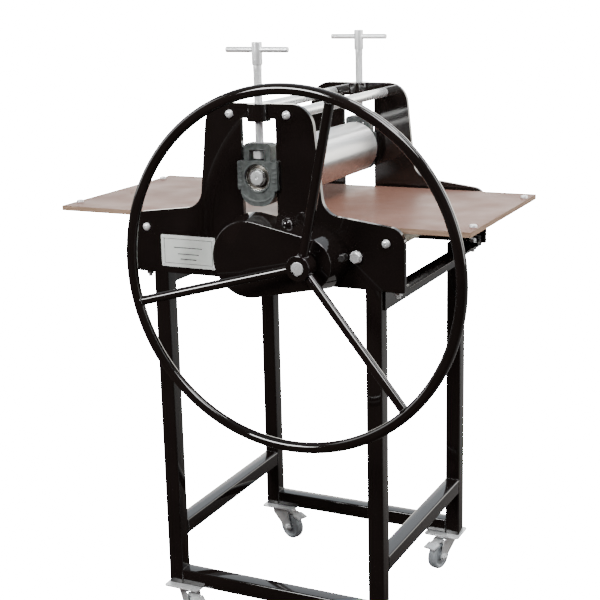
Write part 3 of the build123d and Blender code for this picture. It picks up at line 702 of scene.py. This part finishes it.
topPlaces = mirroredPlaces(tieRodLook["topX"], tieRodLook["topZ"])
lowPlaces = mirroredPlaces(tieRodLook["lowX"], tieRodLook["lowZ"])
wingPlaces = [(jointPlace(f"support_roller_{side}_turn").x, jointPlace(f"support_roller_{side}_turn").z)
              for side in ("left", "right")]
tieRods = acrossRods("tieRods", topPlaces + lowPlaces, tieRodLook["radius"], headLook["rodEnd"])
piece(tieRods, "press_frame", "bright_steel", "tie_rods")
axleLow, axleHigh = corners("support_axles")
axleRadius = (axleHigh.z - axleLow.z) / 2 / mm
supportAxles = acrossRods("supportAxles", wingPlaces, axleRadius, headLook["axleEnd"])
piece(supportAxles, "press_frame", "bright_steel", "support_axles")


def hexPrism(bm, flats, z0, z1, ease):
    # a hexagon nut or head about Z, its top corners turned off
    radius = flats / math.sqrt(3)
    rings = []
    for z, shrink in ((z0, 0), (z1 - ease, 0), (z1, ease * 1.4)):
        ring = []
        for step in range(6):
            turn = math.tau * step / 6
            out = radius - shrink
            ring.append(bm.verts.new(Vector((out * math.cos(turn), out * math.sin(turn), z)) * mm))
        rings.append(ring)
    bridge(bm, rings)
    bm.faces.new(rings[0])
    bm.faces.new(rings[-1])


def sunkHexagon(name, profile, flats, depth, steps=36):
    # a turned head about Z with a hexagon socket cut into its top
    top = max(height for height, radius in profile)
    bm = bmesh.new()
    hexPrism(bm, flats, top - depth, top + 3, 0.01)
    return cutAway(lathe(name, origin, upward, profile, steps), fromBmesh("socketTool", bm))


domeLook = dict(radius=10, height=8, rimShare=0.14, socket=6, socketDepth=3.5, shank=5.9, shankLength=18)


def domeHead(look):
    radius = look["radius"]
    rim = look["height"] * look["rimShare"]
    profile = [(-look["shankLength"], 0), (-look["shankLength"], look["shank"]), (0, look["shank"]),
               (0, radius), (rim, radius)] + crown(rim, look["height"], radius, 8)
    return sunkHexagon("domeHead", profile, look["socket"], look["socketDepth"])


def plateSides(places):
    spots = []
    ways = []
    for y, way in ((plateLow.y, -1), (farHigh.y, 1)):
        for x, z in places:
            spots.append((x, y, z))
            ways.append((0, way, 0))
    return spots, ways


domeSpots, domeWays = plateSides(topPlaces + wingPlaces)
domeBolts = fasteners("domeBolts", domeHead(domeLook), domeSpots, domeWays, "zinc_fasteners")
piece(domeBolts, "press_frame", "zinc_fasteners", "dome_bolts")

wideLook = dict(washerRadius=15, washerHeight=2.5, flats=24, height=8, ease=1.2)


def hexBolt(look):
    bm = bmesh.new()
    washer = [(0, 0), (0, look["washerRadius"]), (look["washerHeight"], look["washerRadius"]),
              (look["washerHeight"], 0)]
    turned(bm, origin, upward, scaled(eased(washer, 0.5)), 36)
    top = look["washerHeight"] + look["height"]
    hexPrism(bm, look["flats"], look["washerHeight"], top, look["ease"])
    return smoothed(fromBmesh("hexBolt", bm))


wideSpots, wideWays = plateSides(lowPlaces)
del wideSpots[0], wideWays[0]  # the left one at the front is countersunk under the nameplate
tieBolts = fasteners("tieBolts", hexBolt(wideLook), wideSpots, wideWays, "zinc_fasteners")
piece(tieBolts, "press_frame", "zinc_fasteners", "tie_bolts")
print("press head made")


# rollers

rollerLook = dict(
    edge=1.5, recess=3.0, lip=10.0, shaftRadius=20.0, steps=160, topJournal=16.0, bottomJournal=17.5,
    shaftEdge=1.2, centreRadius=4.0, centrePit=1.6, centreDepth=5.0)


def pressRoller(node):
    # ground face with eased rims, and turned end plates set a little way in
    low, high = corners(node)
    radius = (high.z - low.z) / 2 / mm
    half = (high.y - low.y) / 2 / mm
    inset = half - rollerLook["recess"]
    core = rollerLook["shaftRadius"]
    lip = radius - rollerLook["lip"]
    outline = [(-inset, core), (-inset, lip), (-half, lip + 1), (-half, radius), (half, radius),
               (half, lip + 1), (inset, lip), (inset, core)]
    profile = eased(outline, rollerLook["edge"], closed=True)
    return lathe(camel(node), (low + high) / 2, rearward, profile, rollerLook["steps"])


def rollerShaft(node, journal, faceNode):
    # stepped shaft with chamfered ends and a centre drilled in each
    low, high = corners(node)
    faceLow, faceHigh = corners(faceNode)
    centre = (low + high) / 2
    y0, y1, f0, f1 = [(end.y - centre.y) / mm for end in (low, high, faceLow, faceHigh)]
    core = rollerLook["shaftRadius"]
    mouth = rollerLook["centreRadius"]
    pit = rollerLook["centrePit"]
    deep = rollerLook["centreDepth"]
    body = eased([(y0 + 0.1, mouth), (y0, journal), (f0, journal), (f0, core), (f1, core),
                  (f1, journal), (y1, journal), (y1 - 0.1, mouth)], rollerLook["shaftEdge"])
    profile = [(y0 + deep, 0), (y0 + deep - 2, pit)] + body + [(y1 - deep + 2, pit), (y1 - deep, 0)]
    return lathe(camel(node), centre, rearward, profile, 64)


rollerBodies = dict(top="upper_roller", bottom="lower_roller")
for place, body in rollerBodies.items():
    roller = f"{place}_roller"
    piece(pressRoller(roller), body, "roller_steel", roller)
for place, body in rollerBodies.items():
    shaft = f"{place}_shaft"
    journal = rollerLook[f"{place}Journal"]
    piece(rollerShaft(shaft, journal, f"{place}_roller"), body, "bright_steel", shaft)


def supportRoller(node):
    low, high = corners(node)
    radius = (high.z - low.z) / 2 / mm
    length = (high.y - low.y) / mm
    profile = rodProfile(length, radius, rollerLook["edge"], axleRadius + 0.05)
    return lathe(camel(node), (low + high) / 2, rearward, profile, 64)


for side in ("left", "right"):
    node = f"support_roller_{side}"
    piece(supportRoller(node), f"support_{side}", "support_roller", node)
print("rollers made")


# bed

boardLook = dict(edge=0.0009, boltRadius=9, boltHeight=6, shank=4.9, shankLength=11,
                 socket=5, socketDepth=2.6)
piece(refined("bed_board", boardLook["edge"]), "bed", "bed_laminate", "bed_board")


def stopBolt(look):
    radius = look["boltRadius"]
    height = look["boltHeight"]
    profile = [(-look["shankLength"], 0), (-look["shankLength"], look["shank"]), (0, look["shank"]),
               (0, radius), (height * 0.5, radius), (height * 0.82, radius * 0.93), (height, radius * 0.72),
               (height, 0)]
    return sunkHexagon("stopBolt", profile, look["socket"], look["socketDepth"])


stopLow, stopHigh = corners("bed_stop_bolts")
stopInset = boardLook["boltRadius"] * mm
bedTop = corners("bed_board")[1].z
stopSpots = [(x, y, bedTop) for x in (stopLow.x + stopInset, stopHigh.x - stopInset)
             for y in (stopLow.y + stopInset, stopHigh.y - stopInset)]
stopBolts = fasteners("bedStopBolts", stopBolt(boardLook), stopSpots, [(0, 0, 1)] * 4, "zinc_fasteners")
piece(stopBolts, "bed", "zinc_fasteners", "bed_stop_bolts")
print("bed made")


# take-up housings and bearing inserts

housingLook = dict(
    edge=0.0016, lipInner=30.8, lipOuter=36, lipRise=1.6, lipRoot=6,
    arcRadius=58, arcWidth=5, arcStart=-134, arcTurn=88, arcSteps=24,
    ribs=5, ribRise=1.3, ribAway=44, ribLow=-20, ribStep=10.5, ribLength=10, ribWidth=4,
    windowHalf=19, windowLow=40, windowHigh=64, windowBar=2.2)


def ringShell(bm, centre, way, inner, outer, deep, rise):
    outline = [(-deep, inner), (-deep, outer), (rise, outer - 0.8), (rise, inner + 0.8)]
    turned(bm, centre, (0, way, 0), scaled(eased(outline, 0.7, closed=True)), 64)


def softBar(bm, low, high, ease=0.8):
    # a small cast bar with every edge eased
    made = bmesh.ops.create_cube(bm, size=1)
    size = high - low
    for vert in made["verts"]:
        vert.co = (low + high) / 2 + Vector([vert.co[i] * size[i] for i in range(3)])
    edges = {edge for vert in made["verts"] for edge in vert.link_edges}
    bmesh.ops.bevel(bm, geom=list(edges), offset=ease * mm, segments=2, profile=0.6, affect="EDGES")


def lowerArc(bm, centre, way, look):
    # a low ridge that follows the foot of the casting, no prouder than its face
    outer = look["arcRadius"]
    inner = outer - look["arcWidth"]
    section = ((inner, -5), (inner, -0.5), (inner + 0.8, -0.1), (outer - 1, -0.1), (outer, -0.8), (outer, -5))
    rings = []
    for step in range(look["arcSteps"] + 1):
        turn = math.radians(look["arcStart"] + look["arcTurn"] * step / look["arcSteps"])
        across = math.cos(turn)
        height = math.sin(turn)
        spots = [Vector((across * radius, way * rise, height * radius)) for radius, rise in section]
        rings.append([bm.verts.new(centre + spot * mm) for spot in spots])
    bridge(bm, rings)
    bm.faces.new(rings[0])
    bm.faces.new(rings[-1])


def castBar(bm, centre, way, reach, rises, heights):
    # a bar on one face of a casting, in millimetres from the bearing's middle
    x0, x1 = sorted(reach)
    y0, y1 = sorted(way * rise for rise in rises)
    z0, z1 = heights
    softBar(bm, centre + Vector((x0, y0, z0)) * mm, centre + Vector((x1, y1, z1)) * mm)


def castRelief(node):
    # the raised lip round the bearing, the lower arc, the ribs and the window's frame on both faces
    look = housingLook
    low, high = corners(node)
    axis = jointPlace("upper_roller_turn")
    half = look["windowHalf"]
    bar = look["windowBar"]
    frameRises = (-6, -0.6)
    bm = bmesh.new()
    for y, way in ((low.y, -1), (high.y, 1)):
        centre = Vector((axis.x, y, axis.z))
        ringShell(bm, centre, way, look["lipInner"], look["lipOuter"], look["lipRoot"], look["lipRise"])
        lowerArc(bm, centre, way, look)
        for side in (-1, 1):
            for rib in range(look["ribs"]):
                z = look["ribLow"] + look["ribStep"] * rib
                x = side * look["ribAway"]
                reach = (x - look["ribLength"] / 2, x + look["ribLength"] / 2)
                heights = (z - look["ribWidth"] / 2, z + look["ribWidth"] / 2)
                castBar(bm, centre, way, reach, (-4, look["ribRise"]), heights)
        top = look["windowHigh"]
        castBar(bm, centre, way, (-half - bar, half + bar), frameRises, (top, top + bar))
        for side in (-1, 1):
            heights = (look["windowLow"] - bar, top + bar)
            castBar(bm, centre, way, (side * half, side * (half + bar)), frameRises, heights)
    return bm


for end in ("front", "rear"):
    node = f"takeup_housing_{end}"
    piece(refined(node, housingLook["edge"], 3, castRelief), "carriage", "cast_iron", node)

insertLook = dict(outer=31, seal=28.5, innerRing=21, bore=16.05, deep=15, collar=3, sealSunk=5.5, edge=0.6)


def housingCentres():
    axis = jointPlace("upper_roller_turn")
    return [Vector((axis.x, middle(f"takeup_housing_{end}").y, axis.z)) for end in ("front", "rear")]


def bearingInserts(look):
    # outer ring, sunk seal and the inner ring that grips the shaft
    bm = bmesh.new()
    ring = look["innerRing"]
    seal = look["seal"]
    deep = look["deep"]
    well = deep - look["sealSunk"]
    proud = deep + look["collar"]
    outline = [(-deep, seal), (-deep, look["outer"]), (deep, look["outer"]), (deep, seal),
               (well, seal - 0.5), (well, ring + 0.5), (proud, ring), (proud, look["bore"]),
               (-proud, look["bore"]), (-proud, ring), (-well, ring + 0.5), (-well, seal - 0.5)]
    for spot in housingCentres():
        turned(bm, spot, rearward, scaled(eased(outline, look["edge"], closed=True)), 64)
    return smoothed(fromBmesh("bearingInserts", bm))


piece(bearingInserts(insertLook), "carriage", "bearing_steel", "bearing_inserts")


def bearingSeals(look):
    # the dark lip seal sunk between the rings, on both faces
    bm = bmesh.new()
    face = look["deep"] - look["sealSunk"]
    outline = [(face - 0.5, look["innerRing"]), (face - 0.5, look["seal"]), (face + 0.9, look["seal"] - 0.2),
               (face + 1.6, look["seal"] - 2.4), (face + 1.2, look["innerRing"] + 1.0)]
    for spot in housingCentres():
        for way in (-1, 1):
            turned(bm, spot, (0, way, 0), scaled(eased(outline, look["edge"] / 2, closed=True)), 64)
    return smoothed(fromBmesh("bearingSeals", bm))


piece(bearingSeals(insertLook), "carriage", "gear_steel")
print("take-up housings made")


# pressure screws and T handles

screwLook = dict(core=9.4, crest=9.95, pitch=4.0, edge=0.4, plainTop=14, spigot=7,
                 nutFlats=30, nutHeight=16, nutLow=44, nutEase=1.2)
handleLook = dict(bossRadius=12, bossEase=1.8, barRadius=6.5, barEase=1.6,
                  pinRadius=2.2, pinLength=24.6, pinRise=11, pinEase=0.5)
barHeight = jointPlace("screw_front_turn").z


def pressureScrew(end):
    # threaded spindle with its captive nut in the housing's window
    node = f"pressure_screw_{end}"
    low, high = corners(node)
    axis = jointPlace("upper_roller_turn")
    base = Vector((axis.x, middle(node).y, low.z))
    length = (high.z - low.z) / mm
    handleLow = (corners(f"tee_handle_{end}")[0].z - low.z) / mm
    core = screwLook["core"]
    crest = screwLook["crest"]
    spigot = screwLook["spigot"]
    plain = handleLow - screwLook["plainTop"]
    profile = eased([(0, 0), (0, core), (plain, core), (plain, crest), (handleLow, crest),
                     (handleLow, spigot), (length, spigot), (length, 0)], screwLook["edge"])
    spindle = lathe(camel(node), base, upward, profile, 48)
    nut = bmesh.new()
    nutBase = (axis.z - low.z) / mm + screwLook["nutLow"]
    hexPrism(nut, screwLook["nutFlats"], 0, screwLook["nutHeight"], screwLook["nutEase"])
    bmesh.ops.translate(nut, verts=nut.verts, vec=base + upward * nutBase * mm)
    join(spindle, nut)
    threadStart = nutBase + screwLook["nutHeight"] + 1  # a millimetre clear of the nut and of the plain top
    threadLength = plain - threadStart - 1
    tree = threadTree(materials["zinc_fasteners"])
    thread = runTree(f"thread{end.capitalize()}", tree, bpy.data.meshes.new("thread"), {
        "Radius": core * mm, "Pitch": screwLook["pitch"] * mm, "Length": threadLength * mm,
        "Depth": (crest - core) * mm})
    thread.data.transform(Matrix.Translation(base + upward * threadStart * mm))
    joinObject(spindle, thread)
    return spindle


def teeHandle(end):
    # boss with the sliding bar through it, held by a cross pin
    look = handleLook
    node = f"tee_handle_{end}"
    low, high = corners(node)
    centre = (low + high) / 2
    spot = Vector((centre.x, centre.y, barHeight))
    foot = (low.z - barHeight) / mm
    top = (high.z - barHeight) / mm
    boss = [(foot, 0), (foot, look["bossRadius"]), (top, look["bossRadius"]), (top, 0)]
    bar = rodProfile((high.x - low.x) / mm, look["barRadius"], look["barEase"])
    pin = rodProfile(look["pinLength"], look["pinRadius"], look["pinEase"])
    pinSpot = Vector((centre.x, centre.y, low.z + look["pinRise"] * mm))
    bm = bmesh.new()
    turned(bm, spot, upward, scaled(eased(boss, look["bossEase"])), 48)
    turned(bm, spot, (1, 0, 0), scaled(bar), 32)
    turned(bm, pinSpot, rearward, scaled(pin), 20)
    return smoothed(fromBmesh(camel(node), bm))


for end in ("front", "rear"):
    piece(pressureScrew(end), f"screw_{end}", "zinc_fasteners", f"pressure_screw_{end}")
    piece(teeHandle(end), f"screw_{end}", "zinc_fasteners", f"tee_handle_{end}")
print("screws made")


# gear drive, guard and handwheel

driveLook = dict(toothEdge=0.0003, drive_sleeve=0.0006, guard=0.0004, guard_knob=0.0004)
for node in ("drive_gear", "drive_pinion"):
    piece(refined(node, driveLook["toothEdge"], 1), bodyOf(node), "gear_steel", node)
for node in ("drive_sleeve", "guard", "guard_knob"):
    piece(refined(node, driveLook[node]), "press_frame", "black_enamel", node)

wheelLook = dict(
    spokeCount=3, firstAngle=74, spokeRadius=11, spokeStart=12, tubeRadius=12.5,
    weldWidth=0.0042, hubWeld=28.5, hubEase=2.0,
    shaftRadius=15, collar=10, collarRise=8, keyWidth=6, keyDepth=3.5, keyLength=24, keyTurn=40)


def wheelMatrix():
    # stands a wheel made flat about Z upright, facing the operator
    rimCentre = middle("wheel_rim")
    return Matrix.Translation(rimCentre) @ Matrix.Rotation(math.pi / 2, 4, "X")


def handwheel(look):
    low, high = corners("wheel_rim")
    tube = look["tubeRadius"] * mm
    ring = (high.x - low.x) / 2 - tube
    hubCentre = middle("wheel_hub")
    rise = hubCentre.y - middle("wheel_rim").y
    empty = bpy.data.meshes.new("empty")
    rim = runTree("wheelRim", rimTree(materials["black_enamel"]), empty, {
        "Ring Radius": ring, "Tube Radius": tube})
    spokes = runTree("wheelSpokes", spokeTree(materials["black_enamel"]), empty.copy(), {
        "Count": look["spokeCount"], "First Angle": math.radians(look["firstAngle"]),
        "Spoke Radius": look["spokeRadius"] * mm, "Start": look["spokeStart"] * mm, "Start Rise": -rise,
        "End": ring, "End Rise": 0.0})
    for part in (rim, spokes):
        part.data.transform(wheelMatrix())
    piece(rim, "handwheel", "black_enamel", "wheel_rim")
    piece(spokes, "handwheel", "black_enamel", "wheel_spokes")
    welds("wheelWelds", spokeWeldLoops(look, hubCentre, ring), look["weldWidth"], "handwheel")


def spokeWeldLoops(look, hubCentre, ring):
    # the path of the weld round both ends of each spoke
    tube = look["tubeRadius"] * mm
    loops = []
    for index in range(look["spokeCount"]):
        turn = math.radians(look["firstAngle"]) + math.tau * index / look["spokeCount"]
        out = Vector((math.cos(turn), 0, math.sin(turn)))
        end = middle("wheel_rim") + out * ring
        line = (end - hubCentre).normalized()
        side = line.orthogonal().normalized()
        up = line.cross(side)
        for spot, grow in ((end - line * tube * 0.86, 1.02), (hubCentre + line * look["hubWeld"] * mm, 1.04)):
            loop = []
            for step in range(24):
                angle = math.tau * step / 24
                around = side * math.cos(angle) + up * math.sin(angle)
                loop.append(spot + around * look["spokeRadius"] * mm * grow)
            loops.append(loop)
    return loops


def wheelHub(look):
    low, high = corners("wheel_hub")
    half = (high.y - low.y) / 2 / mm
    radius = (high.x - low.x) / 2 / mm
    core = look["shaftRadius"]
    outline = [(-half, core), (-half, radius), (half, radius), (half, core)]
    return lathe("wheelHub", (low + high) / 2, rearward, eased(outline, look["hubEase"], closed=True), 64)


def driveShaft(look):
    # a plain shaft with a collar at the rear and a keyway at the handwheel's end
    low, high = corners("drive_shaft")
    centre = (low + high) / 2
    y0 = (low.y - centre.y) / mm
    y1 = (high.y - centre.y) / mm
    core = look["shaftRadius"]
    step = y1 - look["collar"]
    wide = core + look["collarRise"]
    profile = eased([(y0, 0), (y0, core), (step, core), (step, wide), (y1, wide), (y1, 0)], 1.0)
    shaft = lathe("driveShaft", centre, rearward, profile, 64)
    bm = bmesh.new()
    bmesh.ops.create_cube(bm, size=1)
    key = Vector((look["keyWidth"], look["keyLength"], 2 * look["keyDepth"])) * mm
    bmesh.ops.scale(bm, vec=key, verts=bm.verts)
    tool = fromBmesh("keywayTool", bm)
    lean = Matrix.Rotation(math.radians(look["keyTurn"]), 4, "Y")
    out = lean @ Vector((0, 0, -core * mm))
    tool.data.transform(Matrix.Translation(Vector((centre.x, low.y, centre.z)) + out) @ lean)
    return cutAway(shaft, tool)


handwheel(wheelLook)
piece(wheelHub(wheelLook), "handwheel", "black_enamel", "wheel_hub")
piece(driveShaft(wheelLook), "handwheel", "bright_steel", "drive_shaft")
print("drive and handwheel made")


# nameplate: blank, with a border and plain rules

plateLook = dict(
    edge=0.0003, borderInset=9.0, borderWidth=0.9, rise=0.25, sunk=0.3, ruleEase=0.1,
    rules=((0.62, 78), (0.42, 58), (0.26, 44)),  # each rule's height as a share of the plate, and its length
    rivetRadius=3.0, rivetRise=1.5, rivetShank=1.4, rivetShankLength=1.2, rivetInset=2.6)
piece(refined("nameplate", plateLook["edge"]), "press_frame", "nameplate", "nameplate")


def nameplateRules(look):
    low, high = corners("nameplate")
    bm = bmesh.new()
    ease = look["ruleEase"]
    y0 = low.y - look["rise"] * mm
    y1 = low.y + look["sunk"] * mm
    inset = look["borderInset"] * mm
    wide = look["borderWidth"] * mm
    x0 = low.x + inset
    x1 = high.x - inset
    z0 = low.z + inset
    z1 = high.z - inset
    for z in (z0, z1):
        softBar(bm, Vector((x0, y0, z - wide / 2)), Vector((x1, y1, z + wide / 2)), ease)
    for x in (x0, x1):
        softBar(bm, Vector((x - wide / 2, y0, z0)), Vector((x + wide / 2, y1, z1)), ease)
    centre = (low.x + high.x) / 2
    for share, length in look["rules"]:
        z = low.z + (high.z - low.z) * share
        half = length * mm / 2
        softBar(bm, Vector((centre - half, y0, z - wide)), Vector((centre + half, y1, z + wide)), ease)
    return smoothed(fromBmesh("nameplateRules", bm))


piece(nameplateRules(plateLook), "press_frame", "black_enamel")


def rivetHead(look):
    profile = [(-look["rivetShankLength"], 0), (-look["rivetShankLength"], look["rivetShank"]),
               (0, look["rivetShank"]), (0, look["rivetRadius"])]
    profile += crown(0, look["rivetRise"], look["rivetRadius"], 7)
    return lathe("rivetHead", origin, upward, profile, 24)


rivetLow, rivetHigh = corners("nameplate_rivets")
rivetIn = plateLook["rivetInset"] * mm
rivetSpots = [(x, corners("nameplate")[0].y, z) for x in (rivetLow.x + rivetIn, rivetHigh.x - rivetIn)
              for z in (rivetLow.z + rivetIn, rivetHigh.z - rivetIn)]
rivets = fasteners("nameplateRivets", rivetHead(plateLook), rivetSpots, [(0, -1, 0)] * 4, "zinc_fasteners")
piece(rivets, "press_frame", "zinc_fasteners", "nameplate_rivets")
print("nameplate made")


# castors

castorLook = dict(
    treadHalf=12.5, treadRadius=37.5, hubHalf=15.5, hubRadius=11, bore=5.05, rim=28, edge=1.2,
    cupRadius=29, cupMouth=24, cupBore=6.2, cupEase=1.4, pressedEdge=0.0006,
    forkOuter=19, nutFlats=16, nutHeight=6, nutEase=1.0, axleRadius=4.8, axleEnd=8.6)


def castorWheel(name, look):
    # nylon wheel with a crowned tread, sunk sides and a ball-race hub
    node = f"castor_wheel_{name}"
    joint = joints[f"wheel_{name}_roll"]
    half = look["treadHalf"]
    radius = look["treadRadius"]
    hub = look["hubHalf"]
    rim = look["rim"]
    side = [(hub, look["bore"]), (hub, look["hubRadius"]), (half - 3.5, look["hubRadius"] + 1),
            (half - 4.2, rim - 3), (half - 0.6, rim), (half, rim + 4), (half - 2, radius - 1.6),
            (half - 5, radius - 0.3)]
    outline = [(-out, around) for out, around in side] + [(0, radius)] + side[::-1]
    profile = eased(outline, look["edge"], closed=True)
    wheel = lathe(camel(node), Vector(joint["pos_m"]), joint["axis"], profile, 72)
    piece(wheel, f"wheel_{name}", "castor_tread", node)


def axleNut(look):
    # a nut about Z with the end of the axle through it
    bm = bmesh.new()
    hexPrism(bm, look["nutFlats"], 0, look["nutHeight"], look["nutEase"])
    core = look["axleRadius"]
    tip = look["axleEnd"]
    turned(bm, origin, upward, scaled([(0, 0), (0, core), (tip - 1, core), (tip, core - 1), (tip, 0)]), 24)
    return bm


def castorTrim(name, look):
    # the swivel's pressed cup and the nuts on the wheel's axle
    swivel = Vector(joints[f"swivel_{name}_turn"]["pos_m"])
    wheel = joints[f"wheel_{name}_roll"]
    plateBottom = corners("castor_plates")[0].z
    bore = look["cupBore"]
    outer = look["cupRadius"]
    cup = [(-0.6, bore), (-0.6, look["cupMouth"]), (-2.5, outer), (-7.5, outer), (-12, outer - 4),
           (-12, bore)]
    bm = bmesh.new()
    turned(bm, Vector((swivel.x, swivel.y, plateBottom)), upward,
           scaled(eased(cup, look["cupEase"], closed=True)), 56)
    for way in (-1, 1):
        axis = Vector(wheel["axis"]).normalized() * way
        nut = axleNut(look)
        place = Matrix.Translation(Vector(wheel["pos_m"]) + axis * look["forkOuter"] * mm)
        place @= axis.to_track_quat("Z", "Y").to_matrix().to_4x4()
        bmesh.ops.transform(nut, matrix=place, verts=nut.verts)
        part = bpy.data.meshes.new("nut")
        nut.to_mesh(part)
        nut.free()
        bm.from_mesh(part)
    piece(smoothed(fromBmesh(camel(f"castor_trim_{name}"), bm)), f"swivel_{name}", "zinc_fasteners")


for name in ("front_left", "front_right", "rear_left", "rear_right"):
    castorWheel(name, castorLook)
    castorTrim(name, castorLook)
    for kind, body in (("fork", "swivel"), ("pedal", "pedal")):
        node = f"castor_{kind}_{name}"
        piece(refined(node, castorLook["pressedEdge"]), f"{body}_{name}", "zinc_fasteners", node)
piece(refined("castor_plates", castorLook["pressedEdge"]), "press_frame", "zinc_fasteners", "castor_plates")
print("castors made")


# floor, light and camera

roomLook = dict(
    floorSize=14.0, floorColour=(0.90, 0.90, 0.90), floorGlow=25.0,
    # painted shade: the floor as the pieces mirror it is far darker than the floor the camera sees, dark on
    # the operator's side and paler behind
    floorPaintedShade=((0.0, (0.030, 0.021, 0.018)), (1.0, (0.36, 0.35, 0.34))),
    floorWay=(0.45, 0.80, 0.0), floorReach=(0.1, 2.2), backdropStrength=25.0,
    brightWay=(0.0, 0.85, 0.53), roomReach=(-0.3, 0.9), roomStrength=1.0,
    roomShades=((0.0, (0.045, 0.030, 0.026)), (0.35, (0.50, 0.50, 0.50)), (0.75, (1.2, 1.22, 1.25)),
                (0.93, (5.4, 5.4, 5.4))),
    highShades=((0.0, (1.0, 0.97, 0.90)), (1.0, (0.22, 0.235, 0.25))), highReach=(0.24, 0.38))


def makeFloor(look):
    bm = bmesh.new()
    bmesh.ops.create_grid(bm, x_segments=1, y_segments=1, size=look["floorSize"])
    floor = fromBmesh("floor", bm)
    material, tree, shader, place = startMaterial("floorPaint", {
        "Roughness": 0.7, "Emission Color": (1, 1, 1, 1), "Emission Strength": look["floorGlow"]})
    base = look["floorColour"]
    stops = [(0.3, tuple(value * 0.99 for value in base)), (0.7, base)]
    tree.links.new(colourRamp(tree, noise(tree, place, 3, 2), stops), shader.inputs["Base Color"])
    # painted shade: what the pieces mirror is a darker copy of the floor, ramped from dark on the operator's
    # side to paler behind
    share = shareAlong(tree, place, look["floorWay"], look["floorReach"])
    shades = colourRamp(tree, share, look["floorPaintedShade"])
    paintedShadeMirror = add(tree, "ShaderNodeBsdfDiffuse", [("Color", shades)])  # mirrored: dark on the operator's side
    seenOrMirrored(tree, shader, paintedShadeMirror, "Material Output")
    floor.data.materials.append(material)


def makeWorld(look):
    # a white backdrop, and a room that is bright behind and to the right and dim on the operator's side
    world = bpy.data.worlds.new("studio")
    bpy.context.scene.world = world
    world.use_nodes = True
    tree = world.node_tree
    way = add(tree, "ShaderNodeTexCoord").outputs["Generated"]
    share = shareAlong(tree, way, look["brightWay"], look["roomReach"])
    high = shareAlong(tree, way, (0, 0, 1), look["highReach"])
    shades = [colourRamp(tree, share, look["roomShades"]), colourRamp(tree, high, look["highShades"])]
    room = tree.nodes["Background"]
    room.inputs["Strength"].default_value = look["roomStrength"]
    tree.links.new(blended(tree, *shades, 1.0, "MULTIPLY"), room.inputs["Color"])
    backdrop = add(tree, "ShaderNodeBackground", [("Strength", look["backdropStrength"])])
    seenOrMirrored(tree, backdrop, room, "World Output")


def areaLight(name, place, target, size, power):
    light = bpy.data.lights.new(name, "AREA")
    light.shape = "RECTANGLE"
    light.size = size[0]
    light.size_y = size[1]
    light.energy = power
    obj = bpy.data.objects.new(name, light)
    bpy.context.scene.collection.objects.link(obj)
    obj.location = place
    obj.rotation_euler = (Vector(target) - Vector(place)).to_track_quat("-Z", "Y").to_euler()


makeFloor(roomLook)
makeWorld(roomLook)

# each soft light's place from the press head in metres, its two sides in metres and its power in watts
lightLook = dict(
    topSoftbox=((0.9, 0.1, 2.4), (1.3, 1.1), 48),
    leftSoftbox=((-2.8, -1.2, 1.2), (1.4, 2.2), 30),
    rightSoftbox=((2.9, 0.2, 1.0), (0.9, 2.4), 40),
    operatorSoftbox=((-1.1, -2.9, 1.5), (1.0, 1.0), 120),
    cornerSoftbox=((1.4, -1.65, 2.5), (1.5, 1.0), 80),
    rimSoftbox=((1.9, 0.5, 2.3), (0.5, 1.3), 20))
target = inHead(0, 300, 100)
for name, (place, size, power) in lightLook.items():
    areaLight(name, target + Vector(place), target, size, power)

viewLook = dict(place=(1359.7, -2597.3, 691.6), yaw=25.941, pitch=14.18, roll=-1.354,
                focal=1280.5, frameSize=600, sensor=36)


def makeCamera(look):
    # yaw is left of +Y, pitch is below the horizon
    yaw = math.radians(look["yaw"])
    pitch = math.radians(look["pitch"])
    roll = math.radians(look["roll"])
    forward = Vector((-math.sin(yaw) * math.cos(pitch), math.cos(yaw) * math.cos(pitch), -math.sin(pitch)))
    level = Vector((math.cos(yaw), math.sin(yaw), 0))
    upright = level.cross(forward)
    right = level * math.cos(roll) + upright * math.sin(roll)
    up = upright * math.cos(roll) - level * math.sin(roll)
    camera = bpy.data.objects.new("camera", bpy.data.cameras.new("camera"))
    bpy.context.scene.collection.objects.link(camera)
    turn = Matrix((right, up, -forward)).transposed().to_4x4()
    camera.matrix_world = Matrix.Translation(inHead(*look["place"])) @ turn
    camera.data.sensor_width = look["sensor"]
    camera.data.lens = look["sensor"] * look["focal"] / look["frameSize"]
    bpy.context.scene.camera = camera


makeCamera(viewLook)
print("room and camera set")
